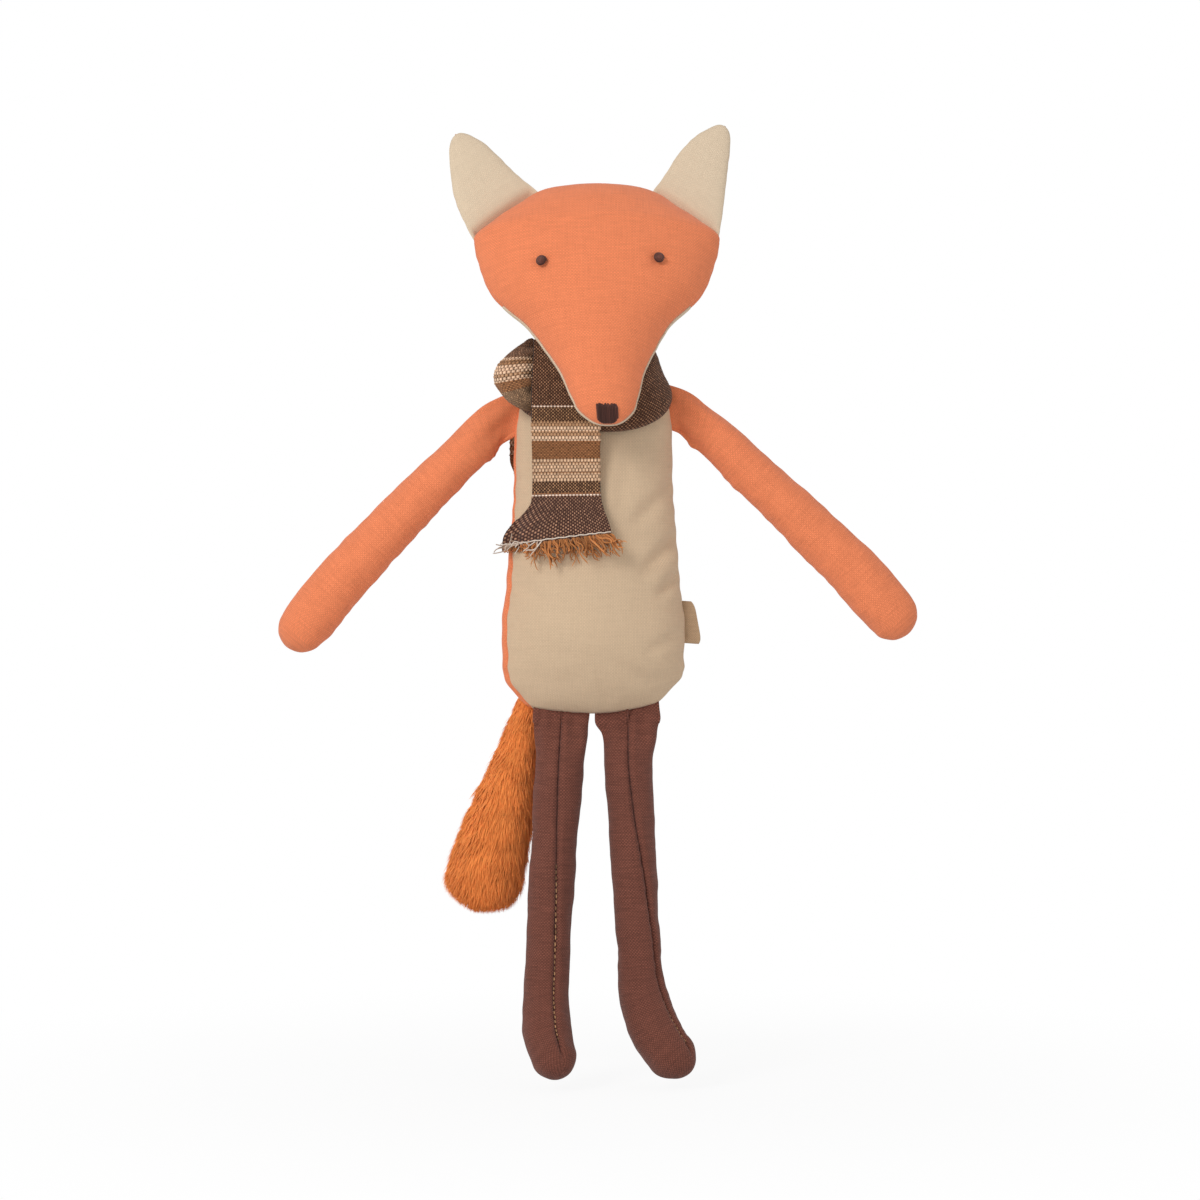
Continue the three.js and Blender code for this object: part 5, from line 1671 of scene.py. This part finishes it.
class FOX_OT_stage(bpy.types.Operator):
    """Set the camera, a pale floor, a white world and soft lamps"""

    bl_idname = "fox.stage"
    bl_label = "Stage"

    def execute(self, context):
        self.camera(context)
        self.floor()
        self.world(context)
        self.lamp("key lamp", (-0.95, -1.3, 0.85), 0.75, 14.5)
        self.lamp("fill lamp", (1.3, -1.1, 0.25), 1.4, 3.6)
        context.scene.view_settings.view_transform = "Standard"
        return {"FINISHED"}

    def camera(self, context):
        """A long lens level with the toy's middle."""
        deselect()
        bpy.ops.object.camera_add(location=(0.0024, -1.25, -0.0169), rotation=(math.pi / 2, 0, 0))
        camera = context.object
        camera.data.lens = 100
        camera.data.sensor_width = 36
        camera.data.clip_start = 0.05
        context.scene.camera = camera

    def floor(self):
        """Matt white paper that takes the toy's shadow and fades into the white background."""
        deselect()
        bpy.ops.mesh.primitive_plane_add(size=6, location=(0, 0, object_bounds()[0].z - 0.004))
        floor = bpy.context.object
        floor.name = "floor"
        material, tree = bare_material("matt white paper")
        matt = add_node(tree, "ShaderNodeBsdfDiffuse", {"Color": (0.9, 0.9, 0.9, 1)})
        white = add_node(tree, "ShaderNodeEmission", {"Color": (1, 1, 1, 1), "Strength": 1.0})
        rays = add_node(tree, "ShaderNodeLightPath").outputs
        place = add_node(tree, "ShaderNodeTexCoord").outputs["Object"]
        reach = add_node(tree, "ShaderNodeVectorMath", (place,), operation="LENGTH").outputs["Value"]
        fade = {"Value": reach, "From Min": 0.05, "From Max": 0.35, "To Min": 0.9}
        far = add_node(tree, "ShaderNodeMapRange", fade, interpolation_type="SMOOTHSTEP")
        seen = add_node(tree, "ShaderNodeMath", (rays["Is Camera Ray"], far), operation="MULTIPLY")
        paper = add_node(tree, "ShaderNodeMixShader", (seen, matt, white))
        add_node(tree, "ShaderNodeOutputMaterial", {"Surface": paper})
        floor.data.materials.append(material)
        floor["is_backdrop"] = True

    def world(self, context):
        """A plain white room, which cameras and reflections see as pure white."""
        world = bpy.data.worlds.new("white studio")
        context.scene.world = world
        world.use_nodes = True
        tree = world.node_tree
        tree.nodes.clear()
        rays = add_node(tree, "ShaderNodeLightPath").outputs
        bent = (rays["Is Glossy Ray"], rays["Is Transmission Ray"])
        mirrored = add_node(tree, "ShaderNodeMath", bent, operation="MAXIMUM")
        seen = add_node(tree, "ShaderNodeMath", (rays["Is Camera Ray"], mirrored), operation="MAXIMUM")
        plain = add_node(tree, "ShaderNodeBackground", {"Color": (1, 1, 1, 1), "Strength": 0.55})
        white = add_node(tree, "ShaderNodeBackground", {"Color": (1, 1, 1, 1), "Strength": 1.0})
        mix = add_node(tree, "ShaderNodeMixShader", (seen, plain, white))
        add_node(tree, "ShaderNodeOutputWorld", {"Surface": mix})

    def lamp(self, name, place, size, power):
        """A soft round lamp that points at the toy."""
        deselect()
        bpy.ops.object.light_add(type="AREA", location=place)
        lamp = bpy.context.object
        lamp.name = name
        lamp.data.shape = "DISK"
        lamp.data.size = size
        lamp.data.energy = power
        lamp.rotation_euler = (-Vector(place)).to_track_quat("-Z", "Y").to_euler()


class FOX_PT_workshop(bpy.types.Panel):
    """Colours, sizes and pieces of the fox"""

    bl_label = "Linen Fox"
    bl_idname = "FOX_PT_workshop"
    bl_space_type = "VIEW_3D"
    bl_region_type = "UI"
    bl_category = "Linen Fox"

    def draw(self, context):
        for group, kind in ((context.scene.fox_colours, FoxColours), (context.scene.fox_sizes, FoxSizes)):
            box = self.layout.box()
            for name in kind.__annotations__:
                box.prop(group, name)
        for operator in OPERATORS:
            self.layout.operator(operator.bl_idname)


OPERATORS = (
    FOX_OT_trunk,
    FOX_OT_head,
    FOX_OT_ears,
    FOX_OT_eyes,
    FOX_OT_nose,
    FOX_OT_arms,
    FOX_OT_legs,
    FOX_OT_tail,
    FOX_OT_scarf,
    FOX_OT_fringes,
    FOX_OT_label,
    FOX_OT_stage,
)
CLASSES = (FoxColours, FoxSizes, *OPERATORS, FOX_PT_workshop)


def register():
    for kind in CLASSES:
        bpy.utils.register_class(kind)
    bpy.types.Scene.fox_colours = PointerProperty(type=FoxColours)
    bpy.types.Scene.fox_sizes = PointerProperty(type=FoxSizes)


def unregister():
    del bpy.types.Scene.fox_sizes
    del bpy.types.Scene.fox_colours
    for kind in reversed(CLASSES):
        bpy.utils.unregister_class(kind)


def main():
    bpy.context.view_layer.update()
    register()
    for operator in OPERATORS:
        group, name = operator.bl_idname.split(".")
        getattr(getattr(bpy.ops, group), name)()


if __name__ == "__main__":
    main()
